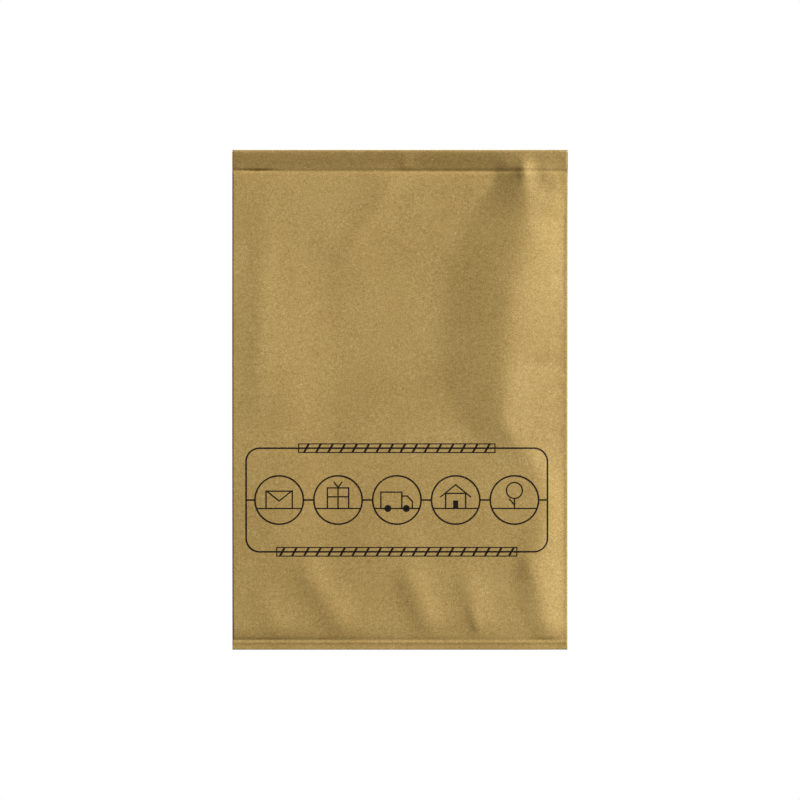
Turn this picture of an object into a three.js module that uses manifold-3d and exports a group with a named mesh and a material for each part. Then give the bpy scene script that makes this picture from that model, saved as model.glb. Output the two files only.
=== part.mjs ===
// A padded mailing envelope, lying flat with its printed front face up.
//
// The outer is one sheet of brown kraft paper, folded round at the left and right edges, lapped and
// glued down the middle of the back, and sealed flat along the bottom. Its front panel runs on past
// the mouth, turns over a springy fold at the top, comes down to the surface that the envelope lies
// on and runs on under the back panel as the flap. In the envelope lies a loose pouch of bubble
// film, open at the mouth. The flap carries a band of adhesive under a peel-off liner.
//
// Millimetres. X runs across the envelope, Y from the bottom seal to the flap fold, and Z up out of
// the front face. The origin is on the surface that it lies on, under the middle of its outline.

import * as THREE from "three";
import { mergeVertices } from "three/addons/utils/BufferGeometryUtils.js";
import Module from "manifold-3d";

const wasm = await Module();
wasm.setup();

// Outline
const WIDTH = 153;
const LENGTH = 228;
const PAPER = 0.2; // one ply of kraft

// Height of the front face above the surface that the envelope lies on
const BODY_HEIGHT = 8.8;
const TOP_LOSS = 1; // how much lower it is at the end of the lining, near the mouth
const TOP_LOSS_RUN = 45; // length over which it gets lower
const BOTTOM_LOSS = 2.8; // and beside the bottom seal

// Edges
const LEFT_DROP = 0.4; // how far the fold at the left edge lies below the front beside it
const RIGHT_LIFT = 4.2; // height of the underside of the fold at the right edge
const SEAL_LIFT = 4.2; // and of the bottom seal
const SEAL_RISE = 14; // length over which the side folds leave the height of the seal
const EDGE_THICKNESS = 0.85; // over the folded sides
const EDGE_RISE = 32; // length over which the sides rise to the top fold
const LIP_HEIGHT = 10.6; // height of the top fold
const LIP_RADIUS = 0.6; // its outside radius
const SEAL_WIDTH = 4.1; // flat sealed strip along the bottom
const SEAL_SLOPE = 5; // from that strip up to the padded body
const TOP_BAND = 10.5; // unlined paper between the lining and the top fold
const LEFT_SHOULDER = 3; // how far in from the left edge the front reaches its full height
const BACK_SHOULDER = 14; // and how far in the back panel comes down to the surface
const MOUTH_SETBACK = 12; // from the top fold down to the free edge of the back panel

// The crest that runs down the right side of the front: its distance from the right edge
const CREST_AT_TOP = 22;
const CREST_AT_WAIST = 31;
const CREST_AT_PRINT = 8;
const CREST_BEND = 43; // length over which it comes in from beside the print to the waist
const CREST_RISE = 2.4; // how far it stands above the flat middle
const CREST_RISE_RUN = 53; // length over which it rises, up from the print
const CREST_FLANK = 17; // width of its slope towards the middle

// Glued lap down the back
const LAP_EDGE_X = -6;
const LAP_SLOPE = 10;

// Flap, folded under the back panel
const FLAP_LENGTH = 40;
const FLAP_ROOT_STEP = 1.5; // how much narrower it is than the body on each side at the fold
const FLAP_TIP_STEP = 6; // and at its free edge
const FLAP_CORNER = 7;
const FLAP_LIFT = 0.75; // height of the back panel over the flap
const FLAP_RUN_OUT = 10; // over which the back panel comes down past the flap's free edge
const FLAP_TURN = 2.1; // angle that the paper turns through at the top fold, in radians
const FLAP_EASE = 6; // length over which the flap levels out on the surface

// Adhesive band on the flap, and the liner that covers it
const ADHESIVE_WIDTH = 16;
const ADHESIVE_THICKNESS = 0.15;
const ADHESIVE_INSET = 8; // from the flap's free edge
const ADHESIVE_END_GAP = 5; // from the flap's slanting sides
const LINER_OVERHANG = 2.5;
const LINER_THICKNESS = 0.1;

// Bubble lining
const LINING_CLEARANCE = 0.4; // from the lining to the paper
const LINING_LEFT_GAP = 8;
const LINING_RIGHT_GAP = 8;
const LINING_SEAL_GAP = 4.5;
const LINING_SETBACK = 0.5; // from the mouth
const LINING_REACH = 2.6; // how far round each of its points the lining keeps clear of the paper
const LINING_EDGE = 0.4; // thickness of its sealed rim
const FILM = 0.35; // thickness of the film between bubbles
const BUBBLE_PITCH = 14;
const BUBBLE_SHARE = 0.76; // a bubble's width as a share of the pitch
const BUBBLE_MARGIN = 3; // least plain rim beside the bubbles

// Pocket between the two layers of the lining: it is open at the mouth and sealed elsewhere. Its
// gaps are from the edges of the lining.
const POCKET_Z = 4.2; // height of its middle
const POCKET_GAP = 1;
const POCKET_LEFT_GAP = 8;
const POCKET_RIGHT_GAP = 22.5;
const POCKET_BOTTOM_GAP = 21.5;
const POCKET_LIP = 3; // plain film beside the pocket's open end

// Print on the front: a frame with a hatched band on its upper and lower side, and in it a row of
// ringed pictures joined by bars. Its gaps are from the edges of the envelope to the frame.
const INK = 0.08;
const PRINT_LEFT_GAP = 6;
const PRINT_RIGHT_GAP = 8.8;
const PRINT_BOTTOM_GAP = 44.4;
const PRINT_HEIGHT = 48;
const PRINT_MARGIN = 4; // level paper above and below the print
const PRINT_CORNER = 6.5;
const FRAME_LINE = 0.75;
const RING_COUNT = 5;
const RING_RADIUS = 11.4;
const RING_LINE = 0.75;
const PICTURE_LINE = 0.6;
const GROUND = -0.34; // level that the pictures stand on, as a share of the ring's radius
const BAND_HEIGHT = 4.4;
const UPPER_BAND_WIDTH = 90;
const LOWER_BAND_WIDTH = 110;
const BAND_RAIL = 0.45;
const HATCH_STEP = 5.5;
const HATCH_LINE = 0.9;
const HATCH_LEAN = 2.2; // how far each hatch line leans over the height of the band

const HALF_WIDTH = WIDTH / 2;
const TOP_Y = LENGTH / 2;
const BOTTOM_Y = -LENGTH / 2;
const SEAM_Y = BOTTOM_Y + SEAL_WIDTH;
const BODY_BOTTOM_Y = SEAM_Y + SEAL_SLOPE;
const BODY_TOP_Y = TOP_Y - TOP_BAND;
const MOUTH_Y = TOP_Y - MOUTH_SETBACK;
const LIP_Y = TOP_Y - LIP_RADIUS; // the middle of the top fold
const FLAP_END_Y = TOP_Y - FLAP_LENGTH;
const FOLD_RADIUS = EDGE_THICKNESS / 2; // outside radius of the folded side edges

const PRINT_LEFT = -HALF_WIDTH + PRINT_LEFT_GAP;
const PRINT_RIGHT = HALF_WIDTH - PRINT_RIGHT_GAP;
const PRINT_BOTTOM = BOTTOM_Y + PRINT_BOTTOM_GAP;
const PRINT_TOP = PRINT_BOTTOM + PRINT_HEIGHT;
const LEVEL_BOTTOM_Y = PRINT_BOTTOM - PRINT_MARGIN; // the front is level between these two
const LEVEL_TOP_Y = PRINT_TOP + PRINT_MARGIN;
const CREST_WAIST_Y = LEVEL_TOP_Y + CREST_BEND; // where the crest comes furthest in

const clamp = (v, low = 0, high = 1) => Math.min(high, Math.max(low, v));
const mix = (a, b, t) => a + (b - a) * t;

// 0 before a, 1 after b, with no kink at either end.
function ease(v, a = 0, b = 1) {
  const t = clamp((v - a) / (b - a));
  return t * t * (3 - 2 * t);
}

// Shape of the two panels

// Distance of the right-hand crest from the right edge.
function crestInset(y) {
  const upper = mix(CREST_AT_WAIST, CREST_AT_TOP, ease(y, CREST_WAIST_Y, BODY_TOP_Y));
  return mix(CREST_AT_PRINT, upper, ease(y, LEVEL_TOP_Y, CREST_WAIST_Y));
}

const crestX = (y) => HALF_WIDTH - crestInset(y);
const crestRise = (y) => CREST_RISE * ease(y, LEVEL_TOP_Y, LEVEL_TOP_Y + CREST_RISE_RUN);

// Radius of the side folds: they close up flat at the bottom seal.
const foldRadius = (y) => mix(PAPER, FOLD_RADIUS, ease(y, SEAM_Y, BODY_BOTTOM_Y));

// Height of the front between its left edge and its crest.
const levelZ = (y) =>
  BODY_HEIGHT -
  BOTTOM_LOSS * ease(-y, -LEVEL_BOTTOM_Y, -BODY_BOTTOM_Y) -
  TOP_LOSS * ease(y, BODY_TOP_Y - TOP_LOSS_RUN, BODY_TOP_Y);

// Height of the underside of the side folds, blended across the envelope. The left fold keeps near
// the front and the right one lies low. Both start from the bottom seal and rise to the top fold.
function foldBase(x, y) {
  const left = levelZ(y) - LEFT_DROP - EDGE_THICKNESS;
  const side = mix(left, RIGHT_LIFT, ease(x, -HALF_WIDTH / 2, HALF_WIDTH / 2));
  const low = mix(SEAL_LIFT, side, ease(y, SEAM_Y, SEAM_Y + SEAL_RISE));
  return mix(low, LIP_HEIGHT - EDGE_THICKNESS, ease(y, LIP_Y - EDGE_RISE, LIP_Y));
}

// Outer face of the front panel between the side folds.
function frontZ(x, y) {
  const fold = foldRadius(y);
  const rim = foldBase(x, y) + 2 * fold;
  const fromLeft = x + HALF_WIDTH - fold;
  const fromRight = HALF_WIDTH - fold - x;
  const left = Math.sin((Math.PI / 2) * clamp(fromLeft / LEFT_SHOULDER));
  const inset = crestInset(y) - fold;
  const right = Math.pow(clamp(fromRight / inset), 0.8);
  const along = ease(y, SEAM_Y, BODY_BOTTOM_Y) * (1 - ease(y, BODY_TOP_Y, LIP_Y));
  const flank = clamp((crestX(y) - x) / CREST_FLANK);
  const crest = crestRise(y) * (1 - ease(flank));
  return rim + (levelZ(y) + crest - rim) * left * right * along;
}

// Outer face of the back panel between the side folds.
function backZ(x, y) {
  const side = 1 - ease(HALF_WIDTH - Math.abs(x), 0, BACK_SHOULDER);
  const flap = ease(y, FLAP_END_Y - FLAP_RUN_OUT, FLAP_END_Y);
  const seal = 1 - ease(y, SEAM_Y, BODY_BOTTOM_Y);
  const lap = x < LAP_EDGE_X ? PAPER * ease(x, LAP_EDGE_X - LAP_SLOPE, LAP_EDGE_X) : 0;
  return mix(foldBase(x, y), FLAP_LIFT * flap + lap, (1 - side) * (1 - seal));
}

// Thickness of the front panel's paper measured straight up: it grows where the panel slopes.
function frontPly(x, y) {
  if (y <= SEAM_Y) return PAPER;
  const step = 0.05;
  const dx = (frontZ(x + step, y) - frontZ(x - step, y)) / (2 * step);
  const dy = (frontZ(x, y + step) - frontZ(x, y - step)) / (2 * step);
  return PAPER * Math.min(2.6, Math.hypot(1, dx, dy));
}

// Closed surfaces made from rows of points

class Skin {
  constructor() {
    this.points = [];
  }

  // Adds a triangle unless two of its corners are the same point.
  triangle(a, b, c) {
    const same = (p, q) => p.distanceTo(q) < 1e-5;
    if (same(a, b) || same(b, c) || same(c, a)) return;
    this.points.push(a, b, c);
  }

  quad(a, b, c, d) {
    this.triangle(a, b, c);
    this.triangle(a, c, d);
  }

  // The strip of quads between two rows. Its outside is on the left hand going along the lower row.
  band(lower, upper) {
    for (let i = 0; i + 1 < lower.length; i++) {
      this.quad(lower[i], lower[i + 1], upper[i + 1], upper[i]);
    }
  }

  geometry() {
    const flat = new THREE.BufferGeometry().setFromPoints(this.points);
    return mergeVertices(flat, 1e-4);
  }
}

// Evenly spaced values from a to b, both included.
const spread = (a, b, steps) =>
  Array.from({ length: steps + 1 }, (_, i) => mix(a, b, i / steps));

// The stations across the front and back panels at a height y: close at the shoulders, and with one
// on the crest.
function columns(y) {
  const edge = HALF_WIDTH - foldRadius(y);
  const shoulder = [0, 0.18, 0.42, 0.7].map((t) => -edge + LEFT_SHOULDER * t);
  const backStart = [0.5, 0.75].map((t) => -HALF_WIDTH + BACK_SHOULDER * t);
  const middle = spread(-HALF_WIDTH + BACK_SHOULDER, LAP_EDGE_X - LAP_SLOPE, 2);
  const lap = [LAP_EDGE_X - 0.02, LAP_EDGE_X + 0.02];
  const crest = crestX(y);
  const flank = spread(crest - 1.4 * CREST_FLANK, crest, 4);
  const slope = [0.15, 0.4, 0.65, 0.85, 1].map((t) => mix(crest, edge, t));
  return [...shoulder, -edge + LEFT_SHOULDER, ...backStart, ...middle, ...lap, ...flank, ...slope];
}

// The stations up the envelope, from the bottom seal to the mouth.
function rowsToMouth() {
  const seal = [BOTTOM_Y, SEAM_Y];
  const slope = [0.25, 0.5, 0.75, 1].map((t) => mix(SEAM_Y, BODY_BOTTOM_Y, t));
  const foot = spread(BODY_BOTTOM_Y, LEVEL_BOTTOM_Y, 3).slice(1);
  const print = spread(LEVEL_BOTTOM_Y, LEVEL_TOP_Y, 2).slice(1);
  const body = spread(LEVEL_TOP_Y, FLAP_END_Y - FLAP_RUN_OUT, 6).slice(1);
  const head = spread(FLAP_END_Y - FLAP_RUN_OUT, MOUTH_Y, 6).slice(1);
  return [...seal, ...slope, ...foot, ...print, ...body, ...head];
}

// Points round a side fold, from its front to its back, on the outside or the inside of the paper.
function foldArc(side, y, radius, turns) {
  const r = foldRadius(y);
  const x = side * (HALF_WIDTH - r);
  return turns.map((turn) => {
    const a = (Math.PI / 2) * turn;
    const z = foldBase(side * HALF_WIDTH, y) + r + radius * Math.sin(a);
    return new THREE.Vector3(x + side * radius * Math.cos(a), y, z);
  });
}

const FOLD_TURNS = [0.5, 0, -0.5];

// One ring round the bag at y: front, right fold, back and left fold.
function ring(y, inside) {
  const xs = columns(y);
  const radius = inside ? foldRadius(y) - PAPER : foldRadius(y);
  const last = xs.length - 1;
  const edgeZ = (x) => foldBase(Math.sign(x) * HALF_WIDTH, y) + foldRadius(y);
  const front = xs.map((x, i) => {
    const atFold = i === 0 || i === last;
    const face = frontZ(x, y) - (inside ? frontPly(x, y) : 0);
    return new THREE.Vector3(x, y, atFold ? edgeZ(x) + radius : face);
  });
  const back = xs.map((x, i) => {
    const atFold = i === 0 || i === last;
    const face = backZ(x, y) + (inside ? PAPER : 0);
    return new THREE.Vector3(x, y, atFold ? edgeZ(x) - radius : face);
  });
  const right = foldArc(1, y, radius, FOLD_TURNS);
  const left = foldArc(-1, y, radius, FOLD_TURNS).reverse();
  return { front, right, back: back.reverse(), left };
}

const aroundRing = (r) => [...r.front, ...r.right, ...r.back, ...r.left, r.front[0]];

// The part of a ring that carries on past the mouth: the front, and half of each side fold.
const frontOfRing = (r) => [r.left[1], r.left[2], ...r.front, r.right[0], r.right[1]];
const backOfRing = (r) => [r.right[1], r.right[2], ...r.back, r.left[0], r.left[1]];

// A row of the front panel between the mouth and the top fold. Its side folds open out flat.
function openRow(y, inside) {
  const flatten = ease(y, MOUTH_Y, LIP_Y);
  const row = frontOfRing(ring(y, inside));
  const outer = frontOfRing(ring(y, false));
  const level = LIP_HEIGHT - (inside ? PAPER : 0);
  return row.map((p, i) => p.clone().lerp(new THREE.Vector3(outer[i].x, y, level), flatten));
}

// Half the width of the flap at a distance from its fold, with round corners at its free edge.
function flapHalfWidth(from) {
  const straight = FLAP_LENGTH - LIP_RADIUS - FLAP_CORNER;
  const slant = FLAP_ROOT_STEP * ease(from, -LIP_RADIUS, LIP_RADIUS);
  const taper = (FLAP_TIP_STEP - FLAP_ROOT_STEP) * clamp(from / straight);
  const into = clamp((from - straight) / FLAP_CORNER);
  return HALF_WIDTH - slant - taper - FLAP_CORNER * (1 - Math.sqrt(1 - into * into));
}

// The outer face of the paper from the top fold to the end of the flap, as points up the middle of
// it with the direction that it runs in: round the fold, down to the surface, and along it.
function flapPath() {
  const heading = (a) => [Math.cos(a), -Math.sin(a)];
  const step = ([y, z], [dy, dz]) => ({ y, z, dy, dz });
  const around = spread(0, FLAP_TURN, 5).map((a) =>
    step(
      [LIP_Y + LIP_RADIUS * Math.sin(a), LIP_HEIGHT - LIP_RADIUS * (1 - Math.cos(a))],
      heading(a),
    ),
  );
  const leave = around.at(-1);
  const knee = [leave.y - (leave.z / leave.dz) * leave.dy, 0];
  const land = [knee[0] - FLAP_EASE, 0];
  const between = (a, b, t) => [mix(a[0], b[0], t), mix(a[1], b[1], t)];
  const down = spread(0, 1, 6).slice(1).map((t) => {
    const first = between([leave.y, leave.z], knee, t);
    const second = between(knee, land, t);
    const run = [second[0] - first[0], second[1] - first[1]];
    const size = Math.hypot(...run);
    return step(between(first, second, t), run.map((v) => v / size));
  });
  const rounding = FLAP_END_Y + FLAP_CORNER;
  const corner = [0, 0.5, 0.8, 0.95, 1].map((t) => rounding - FLAP_CORNER * t);
  const flat = [mix(land[0], rounding, 0.5), ...corner];
  return [...around, ...down, ...flat.map((y) => step([y, 0], [-1, 0]))];
}

// A row of the flap across a point of its path.
function flapRow({ y, z, dy, dz }, inside) {
  const depth = inside ? PAPER : 0;
  const share = flapHalfWidth(LIP_Y - y) / HALF_WIDTH;
  const row = openRow(LIP_Y, false);
  return row.map((p) => new THREE.Vector3(p.x * share, y + dz * depth, z - dy * depth));
}

// The paper from the mouth over the top fold to the end of the flap, as rows of one face of it.
function flapRows(inside) {
  const opening = spread(MOUTH_Y, LIP_Y, 6).slice(1, -1);
  return [
    frontOfRing(ring(MOUTH_Y, inside)),
    ...opening.map((y) => openRow(y, inside)),
    ...flapPath().map((point) => flapRow(point, inside)),
  ];
}

function paperEnvelope() {
  const skin = new Skin();
  const ys = rowsToMouth();
  const outer = ys.map((y) => ring(y, false));
  const inner = ys.slice(1).map((y) => ring(y, true));

  for (let j = 0; j + 1 < outer.length; j++) {
    skin.band(aroundRing(outer[j]), aroundRing(outer[j + 1]));
  }
  for (let j = 0; j + 1 < inner.length; j++) {
    skin.band(aroundRing(inner[j + 1]), aroundRing(inner[j]));
  }

  // End of the bottom seal
  const end = outer[0];
  const under = [...end.back].reverse();
  skin.band(under, end.front);
  const corner = (tip, points) => {
    for (let i = 0; i + 1 < points.length; i++) skin.triangle(tip, points[i], points[i + 1]);
  };
  corner(end.front.at(-1), [under.at(-1), ...[...end.right].reverse()]);
  corner(end.front[0], [...[...end.left].reverse(), under[0]]);

  // Free edge of the back panel at the mouth
  skin.band(backOfRing(outer.at(-1)), backOfRing(inner.at(-1)));

  // Front panel past the mouth, top fold and flap
  const outside = flapRows(false);
  const inside = flapRows(true);
  for (let j = 0; j + 1 < outside.length; j++) {
    skin.band(outside[j], outside[j + 1]);
    skin.band(inside[j + 1], inside[j]);
  }
  const sideOf = (rows, i) => rows.map((row) => row.at(i));
  skin.band(sideOf(outside, 0), sideOf(inside, 0));
  skin.band(sideOf(inside, -1), sideOf(outside, -1));
  skin.band(outside.at(-1), inside.at(-1));
  return skin.geometry();
}

// Solids

function toSolid(geometry) {
  const plain = geometry.index ? geometry.toNonIndexed() : geometry.clone();
  const bare = new THREE.BufferGeometry().setAttribute("position", plain.getAttribute("position"));
  const merged = mergeVertices(bare, 1e-4);
  return new wasm.Manifold(
    new wasm.Mesh({
      numProp: 3,
      vertProperties: merged.attributes.position.array,
      triVerts: new Uint32Array(merged.index.array),
    }),
  );
}

function toGeometry(solid) {
  const mesh = solid.getMesh();
  const geometry = new THREE.BufferGeometry();
  const points = Float32Array.from(mesh.vertProperties);
  geometry.setAttribute("position", new THREE.BufferAttribute(points, 3));
  geometry.setIndex(new THREE.BufferAttribute(Uint32Array.from(mesh.triVerts), 1));
  return geometry;
}

const joined = (solids) => solids.reduce((all, solid) => all.add(solid));

// Bubble lining

const LINING_LEFT = -HALF_WIDTH + LINING_LEFT_GAP;
const LINING_RIGHT = HALF_WIDTH - LINING_RIGHT_GAP;
const LINING_BOTTOM_Y = SEAM_Y + LINING_SEAL_GAP;
const LINING_TOP_Y = MOUTH_Y - LINING_SETBACK;

const POCKET_LEFT = LINING_LEFT + POCKET_LEFT_GAP;
const POCKET_RIGHT = LINING_RIGHT - POCKET_RIGHT_GAP;
const POCKET_BOTTOM = LINING_BOTTOM_Y + POCKET_BOTTOM_GAP;

// The lowest the front panel, or the highest the back panel, comes near (x, y).
function nearby(z, pick, x, y) {
  const turns = spread(0, (7 / 4) * Math.PI, 7).map((a) => [Math.cos(a), Math.sin(a)]);
  return pick(z(x, y), ...turns.map(([c, s]) => z(x + LINING_REACH * c, y + LINING_REACH * s)));
}

const liningTop = (x, y) => nearby(frontZ, Math.min, x, y) - 1.3 * PAPER - LINING_CLEARANCE;
const liningBottom = (x, y) => nearby(backZ, Math.max, x, y) + 1.1 * PAPER + LINING_CLEARANCE;

// Heights of the upper and lower face of the lining at (x, y): on a bubble they come near the paper,
// on the film between bubbles they keep close to the pocket, and at the sealed rim they meet.
function liningFaces(x, y, kind) {
  const top = liningTop(x, y);
  const bottom = liningBottom(x, y);
  const film = POCKET_GAP / 2 + FILM;
  const level = Math.min(POCKET_Z, Math.max((top + bottom) / 2, top - film));
  const seat = Math.max(bottom + LINING_EDGE / 2, level);
  if (kind === "rim") return [seat + LINING_EDGE / 2, seat - LINING_EDGE / 2];
  if (kind === "bubble") return [top, bottom];
  return [Math.min(top, seat + film), Math.max(bottom, seat - film)];
}

// A honeycomb of bubbles on the rectangle that the lining covers. Each flat vertex says whether it
// is on a bubble, on the film between bubbles or on the sealed rim.
function bubblePlan() {
  const corner = BUBBLE_PITCH / Math.sqrt(3);
  const rowStep = 1.5 * corner;
  const across = Math.floor((LINING_RIGHT - LINING_LEFT - 2 * BUBBLE_MARGIN) / BUBBLE_PITCH);
  const height = LINING_TOP_Y - LINING_BOTTOM_Y - 2 * BUBBLE_MARGIN;
  const up = 1 + Math.floor((height - 2 * corner) / rowStep);
  const middleX = (LINING_LEFT + LINING_RIGHT) / 2;
  const middleY = (LINING_TOP_Y + LINING_BOTTOM_Y) / 2;
  const vertices = [];
  const index = new Map();
  const vertex = (x, y, kind, key) => {
    if (!index.has(key)) index.set(key, vertices.push({ x, y, kind }) - 1);
    return index.get(key);
  };
  // The corners of a hexagon, counted in half pitches across and half corner radii up.
  const turn = [[1, 1], [0, 2], [-1, 1], [-1, -1], [0, -2], [1, -1]];
  const triangles = [];
  const edges = new Map();
  for (let row = 0; row < up; row++) {
    const inRow = across - (row % 2);
    for (let column = 0; column < inRow; column++) {
      const [u, v] = [2 * column - (inRow - 1), 3 * row];
      const cx = middleX + (u * BUBBLE_PITCH) / 2;
      const cy = middleY + (row - (up - 1) / 2) * rowStep;
      const hexagon = (share, kind, keyOf) =>
        turn.map(([du, dv]) => {
          const [dx, dy] = [(du * BUBBLE_PITCH) / 2, (dv * corner) / 2];
          return vertex(cx + share * dx, cy + share * dy, kind, keyOf(du, dv));
        });
      const foot = hexagon(1, "film", (du, dv) => `film ${u + du} ${v + dv}`);
      const cap = hexagon(BUBBLE_SHARE, "bubble", (du, dv) => `bubble ${u} ${v} ${du} ${dv}`);
      for (let k = 0; k < 6; k++) {
        const n = (k + 1) % 6;
        triangles.push([foot[k], foot[n], cap[n]], [foot[k], cap[n], cap[k]]);
        const shared = edges.delete(`${foot[n]} ${foot[k]}`);
        if (!shared) edges.set(`${foot[k]} ${foot[n]}`, [foot[k], foot[n]]);
      }
      for (let k = 1; k < 5; k++) triangles.push([cap[0], cap[k], cap[k + 1]]);
    }
  }
  const next = new Map(edges.values());
  const start = next.keys().next().value;
  const outline = [start];
  while (next.get(outline.at(-1)) !== start) outline.push(next.get(outline.at(-1)));

  const sides = Math.round((LINING_TOP_Y - LINING_BOTTOM_Y) / BUBBLE_PITCH);
  const mouth = [POCKET_LEFT - POCKET_LIP, ...spread(POCKET_LEFT, POCKET_RIGHT, 4)];
  const mouthXs = [POCKET_RIGHT + POCKET_LIP, ...mouth.reverse()];
  const inMouth = (x) => x >= POCKET_LEFT - POCKET_LIP && x <= POCKET_RIGHT + POCKET_LIP;
  const kindAt = (x, y) => (y === LINING_TOP_Y && inMouth(x) ? "film" : "rim");
  const rim = [
    ...spread(LINING_LEFT, LINING_RIGHT, across).map((x) => [x, LINING_BOTTOM_Y]),
    ...spread(LINING_BOTTOM_Y, LINING_TOP_Y, sides).map((y) => [LINING_RIGHT, y]).slice(1),
    ...mouthXs.map((x) => [x, LINING_TOP_Y]),
    ...spread(LINING_TOP_Y, LINING_BOTTOM_Y, sides).map((y) => [LINING_LEFT, y]).slice(0, -1),
  ].map(([x, y], i) => vertex(x, y, kindAt(x, y), `rim ${i}`));
  const flat = (i) => new THREE.Vector2(vertices[i].x, vertices[i].y);
  const order = [...rim, ...outline];
  for (const [a, b, c] of THREE.ShapeUtils.triangulateShape(rim.map(flat), [outline.map(flat)])) {
    const corners = [order[a], order[b], order[c]];
    const [p, q, r] = corners.map(flat);
    triangles.push(q.sub(p).cross(r.sub(p)) > 0 ? corners : corners.reverse());
  }
  return { vertices, triangles, rim };
}

function bubbleLining() {
  const { vertices, triangles, rim } = bubblePlan();
  const faces = vertices.map(({ x, y, kind }) => liningFaces(x, y, kind));
  const upper = vertices.map(({ x, y }, i) => new THREE.Vector3(x, y, faces[i][0]));
  const lower = vertices.map(({ x, y }, i) => new THREE.Vector3(x, y, faces[i][1]));
  const skin = new Skin();
  for (const [a, b, c] of triangles) {
    skin.triangle(upper[a], upper[b], upper[c]);
    skin.triangle(lower[a], lower[c], lower[b]);
  }
  const loop = [...rim, rim[0]];
  skin.band(loop.map((i) => lower[i]), loop.map((i) => upper[i]));

  const past = 5;
  const size = [POCKET_RIGHT - POCKET_LEFT, LINING_TOP_Y + past - POCKET_BOTTOM, POCKET_GAP];
  const pocket = new THREE.BoxGeometry(...size);
  pocket.translate(POCKET_LEFT + size[0] / 2, POCKET_BOTTOM + size[1] / 2, POCKET_Z);
  return toGeometry(toSolid(skin.geometry()).subtract(toSolid(pocket)));
}

// Adhesive band and its liner, on the inside of the flap

function strip(width, overhang, low, thickness) {
  const middle = FLAP_END_Y + ADHESIVE_INSET + ADHESIVE_WIDTH / 2;
  const slant = flapHalfWidth(LIP_Y - middle + ADHESIVE_WIDTH / 2 + LINER_OVERHANG);
  const geometry = new THREE.BoxGeometry(2 * (slant - ADHESIVE_END_GAP + overhang), width, thickness);
  return geometry.translate(0, middle, low + thickness / 2);
}

// Print

const PRINT_Z = BODY_HEIGHT;
const at = (x, y) => new THREE.Vector2(x, y);

// The points beside a line of points, half its width to the left or, when negative, to the right.
function beside(points, offset, closed) {
  const count = points.length;
  return points.map((point, i) => {
    const before = closed || i > 0 ? points[(i + count - 1) % count] : null;
    const after = closed || i < count - 1 ? points[(i + 1) % count] : null;
    const normals = [before && [before, point], after && [point, after]]
      .filter(Boolean)
      .map(([p, q]) => at(p.y - q.y, q.x - p.x).normalize());
    const sum = normals.reduce((a, b) => a.clone().add(b)).normalize();
    return sum.multiplyScalar(offset / sum.dot(normals[0])).add(point);
  });
}

// An inked area: its outline, less the hole in it when there is one.
function inked(outline, hole) {
  const shape = new THREE.Shape(outline);
  if (hole) shape.holes.push(new THREE.Path(hole));
  const geometry = new THREE.ExtrudeGeometry(shape, { depth: INK, bevelEnabled: false });
  return toSolid(geometry.translate(0, 0, PRINT_Z));
}

function line(points, width) {
  const back = [...beside(points, -width / 2, false)].reverse();
  return inked([...beside(points, width / 2, false), ...back]);
}

const loop = (points, width) =>
  inked(beside(points, -width / 2, true), beside(points, width / 2, true));

// Points anticlockwise round an arc.
const arc = (x, y, radius, from, to, steps) =>
  spread(from, to, steps).map((a) => at(x + radius * Math.cos(a), y + radius * Math.sin(a)));

const circle = (x, y, radius, steps) => arc(x, y, radius, 0, 2 * Math.PI, steps).slice(0, -1);

// Outline of a box of a width and height that stands on the level of y and is centred on x.
const box = (x, y, width, height) => [
  at(x - width / 2, y),
  at(x + width / 2, y),
  at(x + width / 2, y + height),
  at(x - width / 2, y + height),
];

// Pictures, one in each ring round (x, y). Each stands on a ground line as wide as the ring, and r
// is the radius of the ring.

function letterPicture(x, y, r) {
  const [left, , right, leftTop] = box(x, y, 1.05 * r, 0.72 * r);
  return [
    loop(box(x, y, 1.05 * r, 0.72 * r), PICTURE_LINE),
    line([leftTop, at(x, y + 0.3 * r), right], PICTURE_LINE),
  ];
}

function parcelPicture(x, y, r) {
  const size = 0.85 * r;
  const bow = at(x, y + size);
  return [
    loop(box(x, y, size, size), PICTURE_LINE),
    line([at(x, y), bow], PICTURE_LINE),
    line([at(x - size / 2, y + 0.55 * size), at(x + size / 2, y + 0.55 * size)], PICTURE_LINE),
    line([at(x - 0.2 * size, y + 1.25 * size), bow, at(x + 0.2 * size, y + 1.25 * size)], PICTURE_LINE),
  ];
}

function vanPicture(x, y, r) {
  const cab = [at(0.2, 0), at(0.62, 0), at(0.62, 0.28), at(0.42, 0.5), at(0.2, 0.5)];
  const wheel = (from) => inked(circle(x + from * r, y, 0.14 * r, 10));
  return [
    loop(box(x - 0.22 * r, y, 0.84 * r, 0.68 * r), PICTURE_LINE),
    loop(cab.map((p) => p.multiplyScalar(r).add(at(x, y))), PICTURE_LINE),
    wheel(-0.36),
    wheel(0.38),
  ];
}

function housePicture(x, y, r) {
  const eaves = y + 0.45 * r;
  return [
    loop(box(x, y, 0.8 * r, 0.63 * r), PICTURE_LINE),
    line([at(x - 0.62 * r, eaves), at(x, y + 0.95 * r), at(x + 0.62 * r, eaves)], PICTURE_LINE),
    inked(box(x, y, 0.2 * r, 0.32 * r)),
  ];
}

function treePicture(x, y, r) {
  return [
    line([at(x, y), at(x, y + 0.42 * r)], PICTURE_LINE),
    loop(circle(x, y + 0.72 * r, 0.32 * r, 16), PICTURE_LINE),
    line([at(x - 0.2 * r, y + 0.38 * r), at(x, y + 0.14 * r)], PICTURE_LINE),
  ];
}

const PICTURES = [letterPicture, parcelPicture, vanPicture, housePicture, treePicture];

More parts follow.
